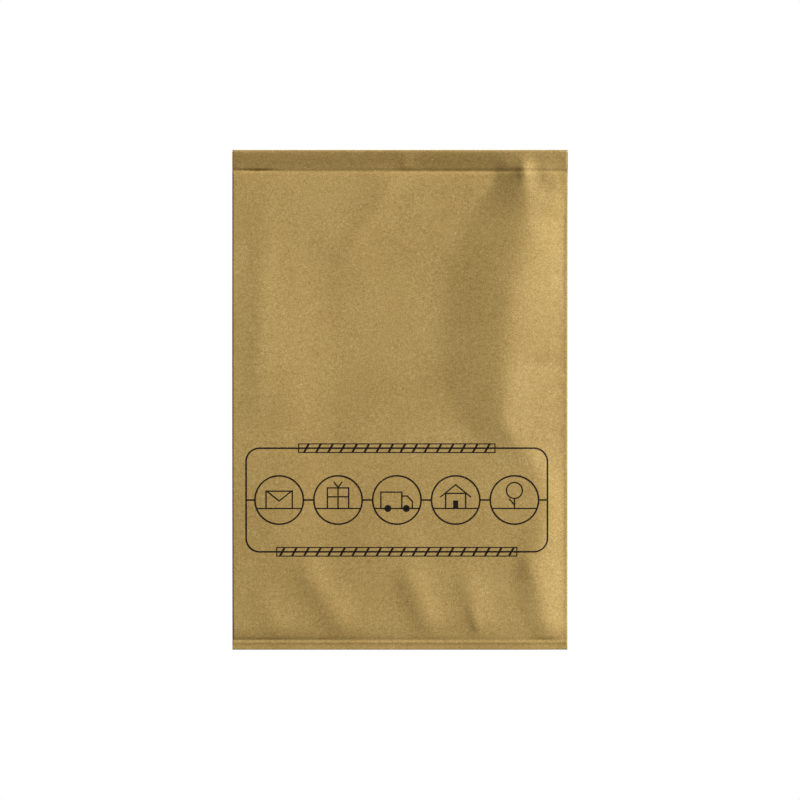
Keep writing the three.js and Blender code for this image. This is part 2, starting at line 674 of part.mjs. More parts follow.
// A hatched band of a width, centred on (x, y).
function hatchedBand(x, y, width) {
  const rim = box(x, y - BAND_HEIGHT / 2, width, BAND_HEIGHT);
  const hatches = Math.floor((width - HATCH_LEAN) / HATCH_STEP);
  const reach = (BAND_HEIGHT - BAND_RAIL) / 2;
  const lines = spread(-1, 1, hatches).slice(1, -1).map((t) => {
    const middle = x + (t * hatches * HATCH_STEP) / 2;
    const lean = HATCH_LEAN / 2;
    return line([at(middle - lean, y - reach), at(middle + lean, y + reach)], HATCH_LINE);
  });
  return [loop(rim, BAND_RAIL), ...lines];
}

function frontPrint() {
  const inset = FRAME_LINE / 2;
  const [left, right] = [PRINT_LEFT + inset, PRINT_RIGHT - inset];
  const [bottom, top] = [PRINT_BOTTOM + inset, PRINT_TOP - inset];
  const [middleX, middleY] = [(left + right) / 2, (top + bottom) / 2];
  const quarter = Math.PI / 2;
  const corner = (x, y, turn) => arc(x, y, PRINT_CORNER, turn * quarter, (turn + 1) * quarter, 5);
  const frame = loop(
    [
      ...corner(right - PRINT_CORNER, top - PRINT_CORNER, 0),
      ...corner(left + PRINT_CORNER, top - PRINT_CORNER, 1),
      ...corner(left + PRINT_CORNER, bottom + PRINT_CORNER, 2),
      ...corner(right - PRINT_CORNER, bottom + PRINT_CORNER, 3),
    ],
    FRAME_LINE,
  );
  const gap = (right - left - 2 * RING_RADIUS * RING_COUNT) / (RING_COUNT + 1);
  const step = 2 * RING_RADIUS + gap;
  const pieces = [frame];
  for (let i = 0; i < RING_COUNT; i++) {
    const x = left + gap + RING_RADIUS + i * step;
    const ground = middleY + GROUND * RING_RADIUS;
    const chord = RING_RADIUS * Math.sqrt(1 - GROUND * GROUND);
    pieces.push(
      loop(circle(x, middleY, RING_RADIUS, 32), RING_LINE),
      line([at(x - chord, ground), at(x + chord, ground)], PICTURE_LINE),
      line([at(x - RING_RADIUS - gap, middleY), at(x - RING_RADIUS, middleY)], RING_LINE),
      ...PICTURES[i % PICTURES.length](x, ground, RING_RADIUS),
    );
  }
  pieces.push(line([at(right - gap, middleY), at(right, middleY)], RING_LINE));
  pieces.push(...hatchedBand(middleX, top, UPPER_BAND_WIDTH));
  pieces.push(...hatchedBand(middleX, bottom, LOWER_BAND_WIDTH));
  return toGeometry(joined(pieces));
}

// Pieces

const part = new THREE.Group();

function piece(name, geometry, color, roughness) {
  const material = new THREE.MeshStandardMaterial({ color, roughness, metalness: 0 });
  const mesh = new THREE.Mesh(geometry, material);
  mesh.name = name;
  part.add(mesh);
}

const adhesive = strip(ADHESIVE_WIDTH, 0, PAPER, ADHESIVE_THICKNESS);
const liner = strip(
  ADHESIVE_WIDTH + 2 * LINER_OVERHANG,
  LINER_OVERHANG,
  PAPER + ADHESIVE_THICKNESS,
  LINER_THICKNESS,
);

piece("paper_envelope", paperEnvelope(), 0xb0935a, 0.62);
piece("bubble_lining", bubbleLining(), 0xdde3e4, 0.28);
piece("adhesive_strip", adhesive, 0xe6dcbc, 0.4);
piece("release_liner", liner, 0xf2f1ec, 0.35);
piece("front_print", frontPrint(), 0x2a1a12, 0.7);

export default part;
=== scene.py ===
"""A padded kraft paper envelope, lying flat with its printed front face up.

The paper is one closed skin worked out from two height functions, one for the front panel and one
for the back. Every other piece, such as the ink, the film lining and the strips on the flap, takes
its place from the same two functions. Lengths are in millimetres up to the moment that a mesh is
made, where they become metres.
"""

import logging
from dataclasses import dataclass
from enum import Enum
from functools import cached_property

import bpy
import numpy as np
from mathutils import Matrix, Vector

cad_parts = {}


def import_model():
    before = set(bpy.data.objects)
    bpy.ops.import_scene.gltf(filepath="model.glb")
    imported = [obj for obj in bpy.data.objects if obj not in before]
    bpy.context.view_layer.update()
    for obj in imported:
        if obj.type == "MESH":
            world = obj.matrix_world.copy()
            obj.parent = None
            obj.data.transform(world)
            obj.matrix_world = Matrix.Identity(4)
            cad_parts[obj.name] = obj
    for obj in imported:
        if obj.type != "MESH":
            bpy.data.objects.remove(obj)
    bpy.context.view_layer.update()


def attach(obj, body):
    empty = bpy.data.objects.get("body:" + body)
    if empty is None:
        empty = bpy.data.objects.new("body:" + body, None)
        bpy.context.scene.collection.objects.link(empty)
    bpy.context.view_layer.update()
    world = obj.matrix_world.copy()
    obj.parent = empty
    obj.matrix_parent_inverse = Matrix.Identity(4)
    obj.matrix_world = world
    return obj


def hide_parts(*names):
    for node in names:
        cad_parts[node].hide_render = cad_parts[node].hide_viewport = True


MM = 0.001
LOG = logging.getLogger("envelope")

Array = np.ndarray
Pair = tuple[float, float]
Triple = tuple[float, float, float]
Colour = Triple
Noise = tuple[float, float, int]
Socket = bpy.types.NodeSocket


# Numeric helpers

NOISE_SIDE = 96  # numbers along a side of the noise lattice
NOISE_SHIFT = (40.3, 40.7)  # where on the lattice the envelope's middle lies


def smooth(value: Array, start: float, end: float) -> Array:
    """Eased step, 3t^2 - 2t^3 with t running from 0 at start to 1 at end.

    Args:
        value: where the step is read.
        start: value at which the step is 0.
        end: value at which the step is 1.

    Returns:
        The step at each value.
    """
    t = np.clip((value - start) / (end - start), 0.0, 1.0)
    return t * t * (3.0 - 2.0 * t)


def bell(value: Array, middle: float, width: float) -> Array:
    """Gaussian bump, exp(-((value - middle) / width)^2)."""
    return np.exp(-(((value - middle) / width) ** 2))


def soft_ramp(value: Array, blend: Array) -> Array:
    """Ramp that is 0 below 0 and rises evenly above it, its corner rounded over the blend."""
    return 0.5 * (value + np.sqrt(value**2 + blend**2))


def value_noise(x: Array, y: Array, cell: float, seed: int) -> Array:
    """Smooth noise: random numbers on a square lattice, eased between the four round a point.

    Args:
        x: across.
        y: up.
        cell: size of a lattice square.
        seed: seed of the lattice.

    Returns:
        Values from -1 to 1.
    """
    lattice = np.random.default_rng(seed).uniform(-1.0, 1.0, (NOISE_SIDE, NOISE_SIDE))
    u = np.asarray(x) / cell + NOISE_SHIFT[0]
    v = np.asarray(y) / cell + NOISE_SHIFT[1]
    i, j = np.floor(u).astype(int), np.floor(v).astype(int)
    s, t = smooth(u - i, 0.0, 1.0), smooth(v - j, 0.0, 1.0)
    i, j = i % (NOISE_SIDE - 1), j % (NOISE_SIDE - 1)
    low = lattice[i, j] * (1 - s) + lattice[i + 1, j] * s
    high = lattice[i, j + 1] * (1 - s) + lattice[i + 1, j + 1] * s
    return low * (1 - t) + high * t


def resample(knots: tuple[Pair, ...], at: Array) -> Array:
    """Smooth curve through knots, by cubic Hermite pieces.

    The slope at a knot is the mean of its neighbours' slopes.

    Args:
        knots: positions in rising order, each with its value.
        at: positions at which the curve is read.

    Returns:
        The curve there.
    """
    p, q = np.array(knots, float).T
    slope = np.gradient(q, p)
    at = np.clip(at, p[0], p[-1])
    i = np.clip(np.searchsorted(p, at) - 1, 0, len(p) - 2)
    h = p[i + 1] - p[i]
    t = (at - p[i]) / h
    return (
        (2 * t**3 - 3 * t**2 + 1) * q[i]
        + (t**3 - 2 * t**2 + t) * h * slope[i]
        + (3 * t**2 - 2 * t**3) * q[i + 1]
        + (t**3 - t**2) * h * slope[i + 1]
    )


def full_turn(count: int) -> Array:
    """Angles spread evenly round a circle."""
    return np.linspace(0.0, 2 * np.pi, count, endpoint=False)


def round_points(x: float, y: float, radius: float, angles: Array) -> Array:
    """Points on a circle at the given angles, one to a row."""
    return np.column_stack([x + radius * np.cos(angles), y + radius * np.sin(angles)])


# Meshes


def mesh_object(
    name: str, points: Array, faces: list[Array], smooth_faces: bool = True
) -> bpy.types.Object:
    """Object from points in millimetres and faces of three or four corners.

    Args:
        name: name of the piece.
        points: n by 3 array in millimetres.
        faces: arrays of point numbers, each with three or four to a face.
        smooth_faces: whether the faces are shaded smooth.

    Returns:
        The new object, at the origin, linked to the scene.
    """
    corners = np.concatenate([part.ravel() for part in faces]).astype(np.int32)
    sizes = np.concatenate([np.full(len(part), part.shape[1]) for part in faces]).astype(np.int32)
    mesh = bpy.data.meshes.new(name)
    mesh.vertices.add(len(points))
    mesh.vertices.foreach_set("co", (points * MM).astype(np.float32).ravel())
    mesh.loops.add(len(corners))
    mesh.loops.foreach_set("vertex_index", corners)
    mesh.polygons.add(len(sizes))
    mesh.polygons.foreach_set("loop_start", (np.cumsum(sizes) - sizes).astype(np.int32))
    mesh.polygons.foreach_set("loop_total", sizes)
    mesh.polygons.foreach_set("use_smooth", np.full(len(sizes), smooth_faces))
    mesh.update(calc_edges=True)
    mesh.validate()
    item = bpy.data.objects.new(name, mesh)
    bpy.context.scene.collection.objects.link(item)
    return item


class PointStore:
    """Points and faces of one mesh, gathered part by part."""

    def __init__(self) -> None:
        """Starts empty."""
        self.points: list[Array] = []
        self.faces: list[Array] = []
        self.count = 0

    def add(self, grid: Array) -> Array:
        """Adds a grid of points.

        Args:
            grid: rows by columns by 3 array.

        Returns:
            The grid's point numbers, rows by columns.
        """
        rows, columns = grid.shape[:2]
        ids = self.count + np.arange(rows * columns).reshape(rows, columns)
        self.points.append(grid.reshape(-1, 3))
        self.count += rows * columns
        return ids

    def strip(self, lower: Array, upper: Array) -> None:
        """Adds quads between rows of point numbers, outside on the left along the lower row.

        Args:
            lower: n point numbers, or several rows of n.
            upper: the same count of point numbers in the next row.
        """
        corners = [lower[..., :-1], lower[..., 1:], upper[..., 1:], upper[..., :-1]]
        self.faces.append(np.stack(corners, axis=-1).reshape(-1, 4))

    def skin(self, rows: Array, inward: bool = False) -> None:
        """Adds the faces of a grid of point numbers, turned round when inward."""
        rows = rows[::-1] if inward else rows
        self.strip(rows[:-1], rows[1:])

    def fan(self, tip: int, rim: Array) -> None:
        """Adds triangles from one point to each pair of neighbours in a row of point numbers."""
        tips = np.full(len(rim) - 1, tip)
        self.faces.append(np.stack([tips, rim[:-1], rim[1:]], axis=-1))

    def slab(self, x: Array, y: Array, low: Array, high: Array) -> None:
        """Adds a closed slab between two grids of heights.

        Args:
            x: across, rows by columns.
            y: up, rows by columns.
            low: heights of the underside.
            high: heights of the upper face.
        """
        under = self.add(np.stack([x, y, low], axis=-1))
        over = self.add(np.stack([x, y, high], axis=-1))
        self.skin(over)
        self.skin(under, inward=True)
        self.strip(under[0], over[0])
        self.strip(under[:, -1], over[:, -1])
        self.strip(under[-1, ::-1], over[-1, ::-1])
        self.strip(under[::-1, 0], over[::-1, 0])

    def build(self, name: str, smooth_faces: bool = True) -> bpy.types.Object:
        """Makes the object."""
        return mesh_object(name, np.concatenate(self.points), self.faces, smooth_faces)


# Shape of the envelope


@dataclass(frozen=True)
class Fold:
    """A soft ridge, or a valley when its height is negative, along a straight line.

    Attributes:
        start: one end.
        end: other end.
        height: height of the ridge.
        width: distance from its crest at which it falls to a third.
        fade: share of its length over which it rises from nothing at each end.
        run_on: how far it runs on past its ends, as a share of that length.
    """

    start: Pair
    end: Pair
    height: float
    width: float
    fade: float = 0.35
    run_on: float = 0.3

    def at(self, x: Array, y: Array) -> Array:
        """Height exp(-(d / width)^2), d being the distance from the line, eased at the ends.

        Args:
            x: across.
            y: up.

        Returns:
            Heights of the fold alone.
        """
        run = np.subtract(self.end, self.start)
        length = float(np.hypot(*run))
        dx, dy = x - self.start[0], y - self.start[1]
        along = (dx * run[0] + dy * run[1]) / length
        away = (dx * run[1] - dy * run[0]) / length
        fade = self.fade * length
        past = fade * self.run_on
        window = smooth(along, -past, fade) * (1 - smooth(along, length - fade, length + past))
        return self.height * bell(away, 0.0, self.width) * window


# Lines up the front panel, as pairs of y and a value
LEVEL_LINE = (  # height of the middle
    (-114.0, 6.05), (-104.0, 6.15), (-90.0, 6.25), (-70.0, 6.6), (-40.0, 7.4), (0.0, 8.2),
    (50.0, 8.6), (85.0, 8.4), (98.0, 8.15), (104.0, 7.95), (114.0, 7.95),
)
RIGHT_LINE = (  # height of the underside of the right fold
    (-114.0, 2.6), (-85.0, 2.2), (-60.0, 2.4), (-30.0, 2.8), (10.0, 3.6), (50.0, 4.5),
    (114.0, 4.8),
)
CREST_LINE = (  # x of the crest
    (-114.0, 68.0), (-109.0, 68.0), (-102.0, 66.5), (-92.0, 64.5), (-80.0, 62.5), (-66.0, 65.0),
    (-50.0, 67.5), (-36.0, 65.5), (-26.0, 59.0), (-18.0, 52.0), (-10.0, 47.5), (2.0, 48.0),
    (25.0, 48.5), (36.0, 49.0), (48.0, 51.0), (60.0, 54.5), (74.0, 58.0), (88.0, 58.5),
    (97.0, 57.0), (104.0, 56.5), (114.0, 57.0),
)
FLANK_START = (  # x at which the flank starts to climb
    (-114.0, 60.0), (-92.0, 53.0), (-80.0, 50.5), (-66.0, 53.0), (-50.0, 57.0), (-26.0, 40.0),
    (-10.0, 28.0), (2.0, 22.0), (25.0, 17.0), (48.0, 19.5), (66.0, 23.0), (84.0, 32.0),
    (98.0, 42.0), (114.0, 44.0),
)
FLANK_CLIMB = (  # how far it climbs to the crest
    (-114.0, 0.3), (-104.0, 0.7), (-92.0, 1.1), (-80.0, 1.6), (-66.0, 0.9), (-50.0, 0.2),
    (-26.0, 0.4), (-10.0, 1.8), (2.0, 2.4), (25.0, 3.3), (48.0, 4.8), (66.0, 5.5),
    (84.0, 5.9), (98.0, 5.1), (106.0, 3.6), (114.0, 0.5),
)
CREST_ROUNDNESS = (  # width over which the crest is rounded
    (-114.0, 3.0), (-92.0, 4.5), (-76.0, 4.0), (-50.0, 4.0), (-24.0, 3.5), (-12.0, 3.0),
    (2.0, 3.5), (25.0, 6.0), (48.0, 9.5), (66.0, 11.0), (84.0, 10.5), (98.0, 6.0),
    (114.0, 3.0),
)
FRONT_FOLDS = (
    # Long soft ridge down the left
    Fold((-62.0, 92.0), (-64.5, -12.0), 0.6, 6.5),
    # Slanting streak below the crease, with a broad rise to its left
    Fold((2.0, 106.0), (-27.0, 64.0), 0.42, 4.4, 0.25),
    Fold((-4.0, 108.0), (-34.0, 62.0), 0.38, 11.0, 0.2),
    # Folds that fan out above the bottom seal
    Fold((-47.0, -72.0), (-22.0, -109.0), 0.95, 7.0),
    Fold((1.0, -73.0), (16.0, -110.0), 0.9, 6.5),
    Fold((29.0, -75.0), (39.0, -110.0), 0.6, 6.5),
    Fold((-66.0, -84.0), (-52.0, -112.0), 0.35, 6.0),
    Fold((32.0, -93.0), (36.5, -108.5), 0.35, 2.2),
    Fold((59.0, -70.0), (58.5, -82.0), 0.45, 3.4),
    # Short wrinkles on the right slope
    Fold((58.0, 26.0), (79.0, 29.0), -0.15, 1.8),
    Fold((55.0, 15.5), (79.0, 17.5), -0.25, 3.0),
    Fold((69.0, 6.5), (79.0, 5.0), -0.12, 1.6),
    Fold((59.0, -12.0), (79.0, -17.0), -0.12, 2.0),
    Fold((68.0, 57.0), (78.0, 57.5), -0.12, 1.5),
    Fold((63.0, 70.5), (75.0, 71.0), -0.12, 1.5),
    Fold((65.0, 76.0), (76.0, 76.0), -0.1, 1.5),
    Fold((67.0, 82.5), (78.0, 82.0), -0.12, 1.5),
    Fold((70.0, 99.0), (64.0, 92.0), -0.25, 2.0),
    # Broken corner at the top right
    Fold((59.0, 118.0), (56.0, 98.0), 0.35, 2.4),
    Fold((57.5, 121.0), (55.5, 101.0), 0.7, 3.2, 0.3),
    Fold((70.0, 108.0), (70.0, 82.0), 0.8, 6.5),
    Fold((63.5, 115.0), (62.5, 94.0), -0.3, 2.8),
    # Step in the band above the crease
    Fold((2.0, 115.0), (3.5, 105.0), 0.55, 3.2, 0.2),
)


@dataclass(frozen=True)
class EnvelopeForm:
    """Sizes of the envelope and the two height functions that every piece follows."""

    width: float = 153.0
    length: float = 228.0
    paper: float = 0.22  # one ply of kraft
    # Side folds
    left_drop: float = 0.25  # from the front down to the left fold
    left_shoulder: float = 0.9  # how far in the front reaches its full height
    right_shoulder: float = 0.8
    right_rim: float = 1.9  # rim beside the right edge, below which the front falls no further
    edge_thickness: float = 0.6  # over a folded side
    edge_rise: float = 32.0  # length over which the right fold climbs to the top fold
    edge_reach: float = 16.0  # how far in the side folds shape the front
    edge_blend: float = 0.35  # rounding where the front meets them
    # Bottom seal
    seal_width: float = 4.45
    seal_lift: float = 4.8  # height of its underside
    seal_droop: float = 1.5  # how much lower its right end lies
    seal_droop_run: float = 26.0
    seal_rise: float = 14.0  # length over which the side folds leave its height
    seal_slope: float = 8.0  # from the seal up to the padded body
    seal_bend: float = 6.6  # from the seal down to the ground
    seal_lip: float = 0.26  # height of the ridge along it
    seal_lip_drop: float = 1.1  # how far that ridge lies below the seam
    seal_lip_width: float = 0.75
    foot_ease: float = 0.4  # share of the slope above the seal that starts gently
    foot_power: int = 7  # how early the rest of that slope swells
    # Top fold, crease, and the band between them
    lip_height: float = 10.75
    lip_radius: float = 0.38
    crease_drop: float = 9.6  # from the top fold down to the crease
    crease_depth: float = 0.18
    crease_deeper: float = 0.16  # how much deeper the crease is on the right
    crease_change: Pair = (-40.0, 20.0)  # x over which it gets deeper
    crease_width: float = 0.8
    climb_even: float = 0.75  # share of the band's climb that is even
    nick_end: float = -54.0  # x at which the sharp nick at the crease's left end stops
    nick_run: float = 14.0
    nick_depth: float = 1.0
    nick_rise: float = 0.3  # how far the nick lies above the crease
    nick_width: float = 0.45
    # Level of the front
    plateau: float = 1.5  # how much higher the left side lies
    plateau_side: Pair = (-58.0, -28.0)  # x over which it comes down to the middle
    plateau_foot: Pair = (-110.0, -20.0)  # y over which it rises
    plateau_head: Pair = (30.0, 80.0)  # y over which it ends
    tilt: float = 0.008  # fall of the front to the right
    tilt_x: float = -20.0  # where that fall starts to count
    flank_blend: float = 0.12  # rounding of the flank's two ends, as a share of its length
    folds: tuple[Fold, ...] = FRONT_FOLDS
    # Cockling, as height, cell and seed of each noise
    cockling: tuple[Noise, ...] = ((0.05, 17.0, 3), (0.03, 7.5, 8), (0.008, 2.6, 21))
    steepest: float = 2.6  # most times its thickness that a steep ply measures straight up
    # Back panel
    mouth_setback: float = 12.0  # from the top fold down to its free edge
    back_shoulder: float = 14.0  # how far in it comes down to the ground
    back_cockle: float = 0.05
    back_cell: float = 15.0
    back_seed: int = 5
    lap_x: float = -6.0
    lap_slope: float = 10.0
    # Flap
    flap_length: float = 40.0
    flap_lift: float = 0.75  # height of the back panel over it
    flap_root_step: float = 1.5  # how much narrower it is at the fold, on each side
    flap_tip_step: float = 6.0  # and at its free edge
    flap_corner: float = 7.0
    flap_run_out: float = 10.0  # length over which the back panel comes down past it
    flap_turn: float = 2.1  # angle that the paper turns through at the top fold, in radians
    flap_ease: float = 6.0  # length over which it levels out on the ground

    @property
    def half(self) -> float:
        """Half the width."""
        return self.width / 2

    @property
    def top(self) -> float:
        """Y of the top fold's outside."""
        return self.length / 2

    @property
    def lip_y(self) -> float:
        """Y of the middle of the top fold."""
        return self.top - self.lip_radius

    @property
    def seam(self) -> float:
        """Y of the inner edge of the bottom seal."""
        return -self.top + self.seal_width

    @property
    def crease(self) -> float:
        """Y of the crease where the lining ends under the front panel."""
        return self.top - self.crease_drop

    @property
    def mouth(self) -> float:
        """Y of the free edge of the back panel."""
        return self.top - self.mouth_setback

    @property
    def flap_end(self) -> float:
        """Y of the flap's free edge, under the back panel."""
        return self.top - self.flap_length

    def fold_radius(self, y: Array) -> Array:
        """Radius of the side folds, which close up flat at the seal."""
        opening = smooth(y, self.seam, self.seam + self.seal_slope)
        return self.paper + (self.edge_thickness / 2 - self.paper) * opening

    def level(self, x: Array, y: Array) -> Array:
        """Height of the front before the flank, the folds and the edges shape it.

        It is the line up the middle, with a plateau on the left and an even fall to the right.

        Args:
            x: across.
            y: up.

        Returns:
            Heights.
        """
        along = smooth(y, *self.plateau_foot) * (1 - smooth(y, *self.plateau_head))
        plateau = self.plateau * (1 - smooth(x, *self.plateau_side)) * along
        return resample(LEVEL_LINE, y) + plateau - self.tilt * (x - self.tilt_x)

    def band_climb(self, y: Array) -> Array:
        """Share of the climb from the crease to the top fold, 0 below the crease."""
        share = np.clip((y - self.crease) / (self.lip_y - self.crease), 0.0, 1.0)
        return self.climb_even * share + (1 - self.climb_even) * smooth(share, 0.0, 1.0)

    def fold_base(self, x: Array, y: Array) -> Array:
        """Height of the underside of the side folds, blended across the envelope.

        The left fold keeps near the front and the right one lies low. Both start from the seal and
        rise to the top fold.

        Args:
            x: across.
            y: up.

        Returns:
            Heights.
        """
        level = self.level(-self.half, y) - self.left_drop
        left = level + (self.lip_height - level) * self.band_climb(y) - self.edge_thickness
        top = self.lip_height - self.edge_thickness
        right = resample(RIGHT_LINE, y)
        right = right + (top - right) * smooth(y, self.lip_y - self.edge_rise, self.lip_y)
        side = left + (right - left) * smooth(x, -self.half / 2, self.half / 2)
        droop = smooth(x, self.half - self.seal_droop_run, self.half)
        seal = self.seal_lift - self.seal_droop * droop
        return seal + (side - seal) * smooth(y, self.seam, self.seam + self.seal_rise)

    def rim(self, x: Array, y: Array) -> Array:
        """Height of the upper side of the side folds, blended across the envelope."""
        return self.fold_base(x, y) + 2 * self.fold_radius(y)

    def body(self, x: Array, y: Array) -> Array:
        """Front panel before its edges close it.

        To the right it climbs an even flank to a crest and falls from there to the edge: level +
        climb * flank(x) - fall * ramp(x - crest), with ramp(d) = (d + sqrt(d^2 + w^2)) / 2. The
        folds and the cockling are added.

        Args:
            x: across.
            y: up.

        Returns:
            Heights.
        """
        crest, start = resample(CREST_LINE, y), resample(FLANK_START, y)
        climb, roundness = resample(FLANK_CLIMB, y), resample(CREST_ROUNDNESS, y)
        run = self.flank_blend * (crest - start)
        rise = soft_ramp(x - start, run) - soft_ramp(x - crest, run)
        drop = self.level(self.half, y) + climb - self.rim(self.half, y)
        fall = drop / soft_ramp(self.half - self.right_rim - crest, roundness)
        body = self.level(x, y) + climb * rise / (crest - start)
        body = body - fall * soft_ramp(x - crest, roundness)
        for fold in self.folds:
            body = body + fold.at(x, y)
        for height, cell, seed in self.cockling:
            body = body + height * value_noise(x, y, cell, seed)
        return body

    def front(self, x: Array, y: Array) -> Array:
        """Outer face of the front panel.

        Both sides of the body end in a rounded shoulder, the foot in the seal, and the head in a
        crease with a band beyond it that climbs to the top fold.

        Args:
            x: across.
            y: up.

        Returns:
            Heights.
        """
        x, y = np.broadcast_arrays(np.asarray(x, float), np.asarray(y, float))
        band = self.body(x, y)
        band = band + (self.lip_height - band) * self.band_climb(y)
        depth = self.crease_depth + self.crease_deeper * smooth(x, *self.crease_change)
        band = band - depth * bell(y, self.crease, self.crease_width)
        nick = self.nick_depth * (1 - smooth(x, self.nick_end - self.nick_run, self.nick_end))
        band = band - nick * bell(y, self.crease + self.nick_rise, self.nick_width)

        beside = smooth(np.abs(x), self.half - self.edge_reach, self.half)
        rim = self.rim(x, y)
        rim = rim - soft_ramp(rim - band, self.edge_blend) * (1 - beside)
        share = np.clip((y - self.seam) / self.seal_slope, 0.0, 1.0)
        swell = 1 - (1 - share) ** self.foot_power
        foot = self.foot_ease * smooth(share, 0.0, 1.0) + (1 - self.foot_ease) * swell
        inward = np.clip((x + self.half) / self.left_shoulder, 0.0, 1.0)
        left = np.sqrt(1 - (1 - inward) ** 2)
        right = smooth(self.half - x, 0.0, self.right_shoulder)
        lip = self.seal_lip * bell(y, self.seam - self.seal_lip_drop, self.seal_lip_width)
        return rim + soft_ramp(band - rim, self.edge_blend) * foot * left * right + lip

    def back(self, x: Array, y: Array) -> Array:
        """Outer face of the back panel: on the ground, lifted at the edges and over the flap.

        Args:
            x: across.
            y: up.

        Returns:
            Heights.
        """
        x, y = np.broadcast_arrays(np.asarray(x, float), np.asarray(y, float))
        side = smooth(self.half - np.abs(x), 0.0, self.back_shoulder)
        flat = side * smooth(y, self.seam, self.seam + self.seal_bend)
        flap = smooth(y, self.flap_end - self.flap_run_out, self.flap_end)
        lap = self.paper * smooth(x, self.lap_x - self.lap_slope, self.lap_x) * (x < self.lap_x)
        uneven = 1 + value_noise(x, y, self.back_cell, self.back_seed)
        inner = self.flap_lift * flap + lap + self.back_cockle * uneven * (1 - flap)
        return self.fold_base(x, y) * (1 - flat) + inner * flat

    def ply(self, x: Array, y: Array) -> Array:
        """Paper of the front panel measured straight up, thicker where the panel is steep.

        Args:
            x: across.
            y: up.

        Returns:
            Thicknesses, the paper's own times sqrt(1 + slope^2).
        """
        step = 0.1
        slope_x = (self.front(x + step, y) - self.front(x - step, y)) / (2 * step)
        slope_y = (self.front(x, y + step) - self.front(x, y - step)) / (2 * step)
        return self.paper * np.minimum(self.steepest, np.sqrt(1 + slope_x**2 + slope_y**2))

    def flap_half(self, y: Array) -> Array:
        """Half the width of the flap at a height y, with rounded corners at its free edge.

        Args:
            y: up.

        Returns:
            Half widths.
        """
        start = self.lip_y - y
        straight = self.lip_y - self.flap_end - self.flap_corner
        root = self.flap_root_step * smooth(start, -self.lip_radius, self.lip_radius)
        narrowing = self.flap_tip_step - self.flap_root_step
        taper = narrowing * np.clip(start / straight, 0.0, 1.0)
        into = np.clip((start - straight) / self.flap_corner, 0.0, 1.0)
        return self.half - root - taper - self.flap_corner * (1 - np.sqrt(1 - into**2))


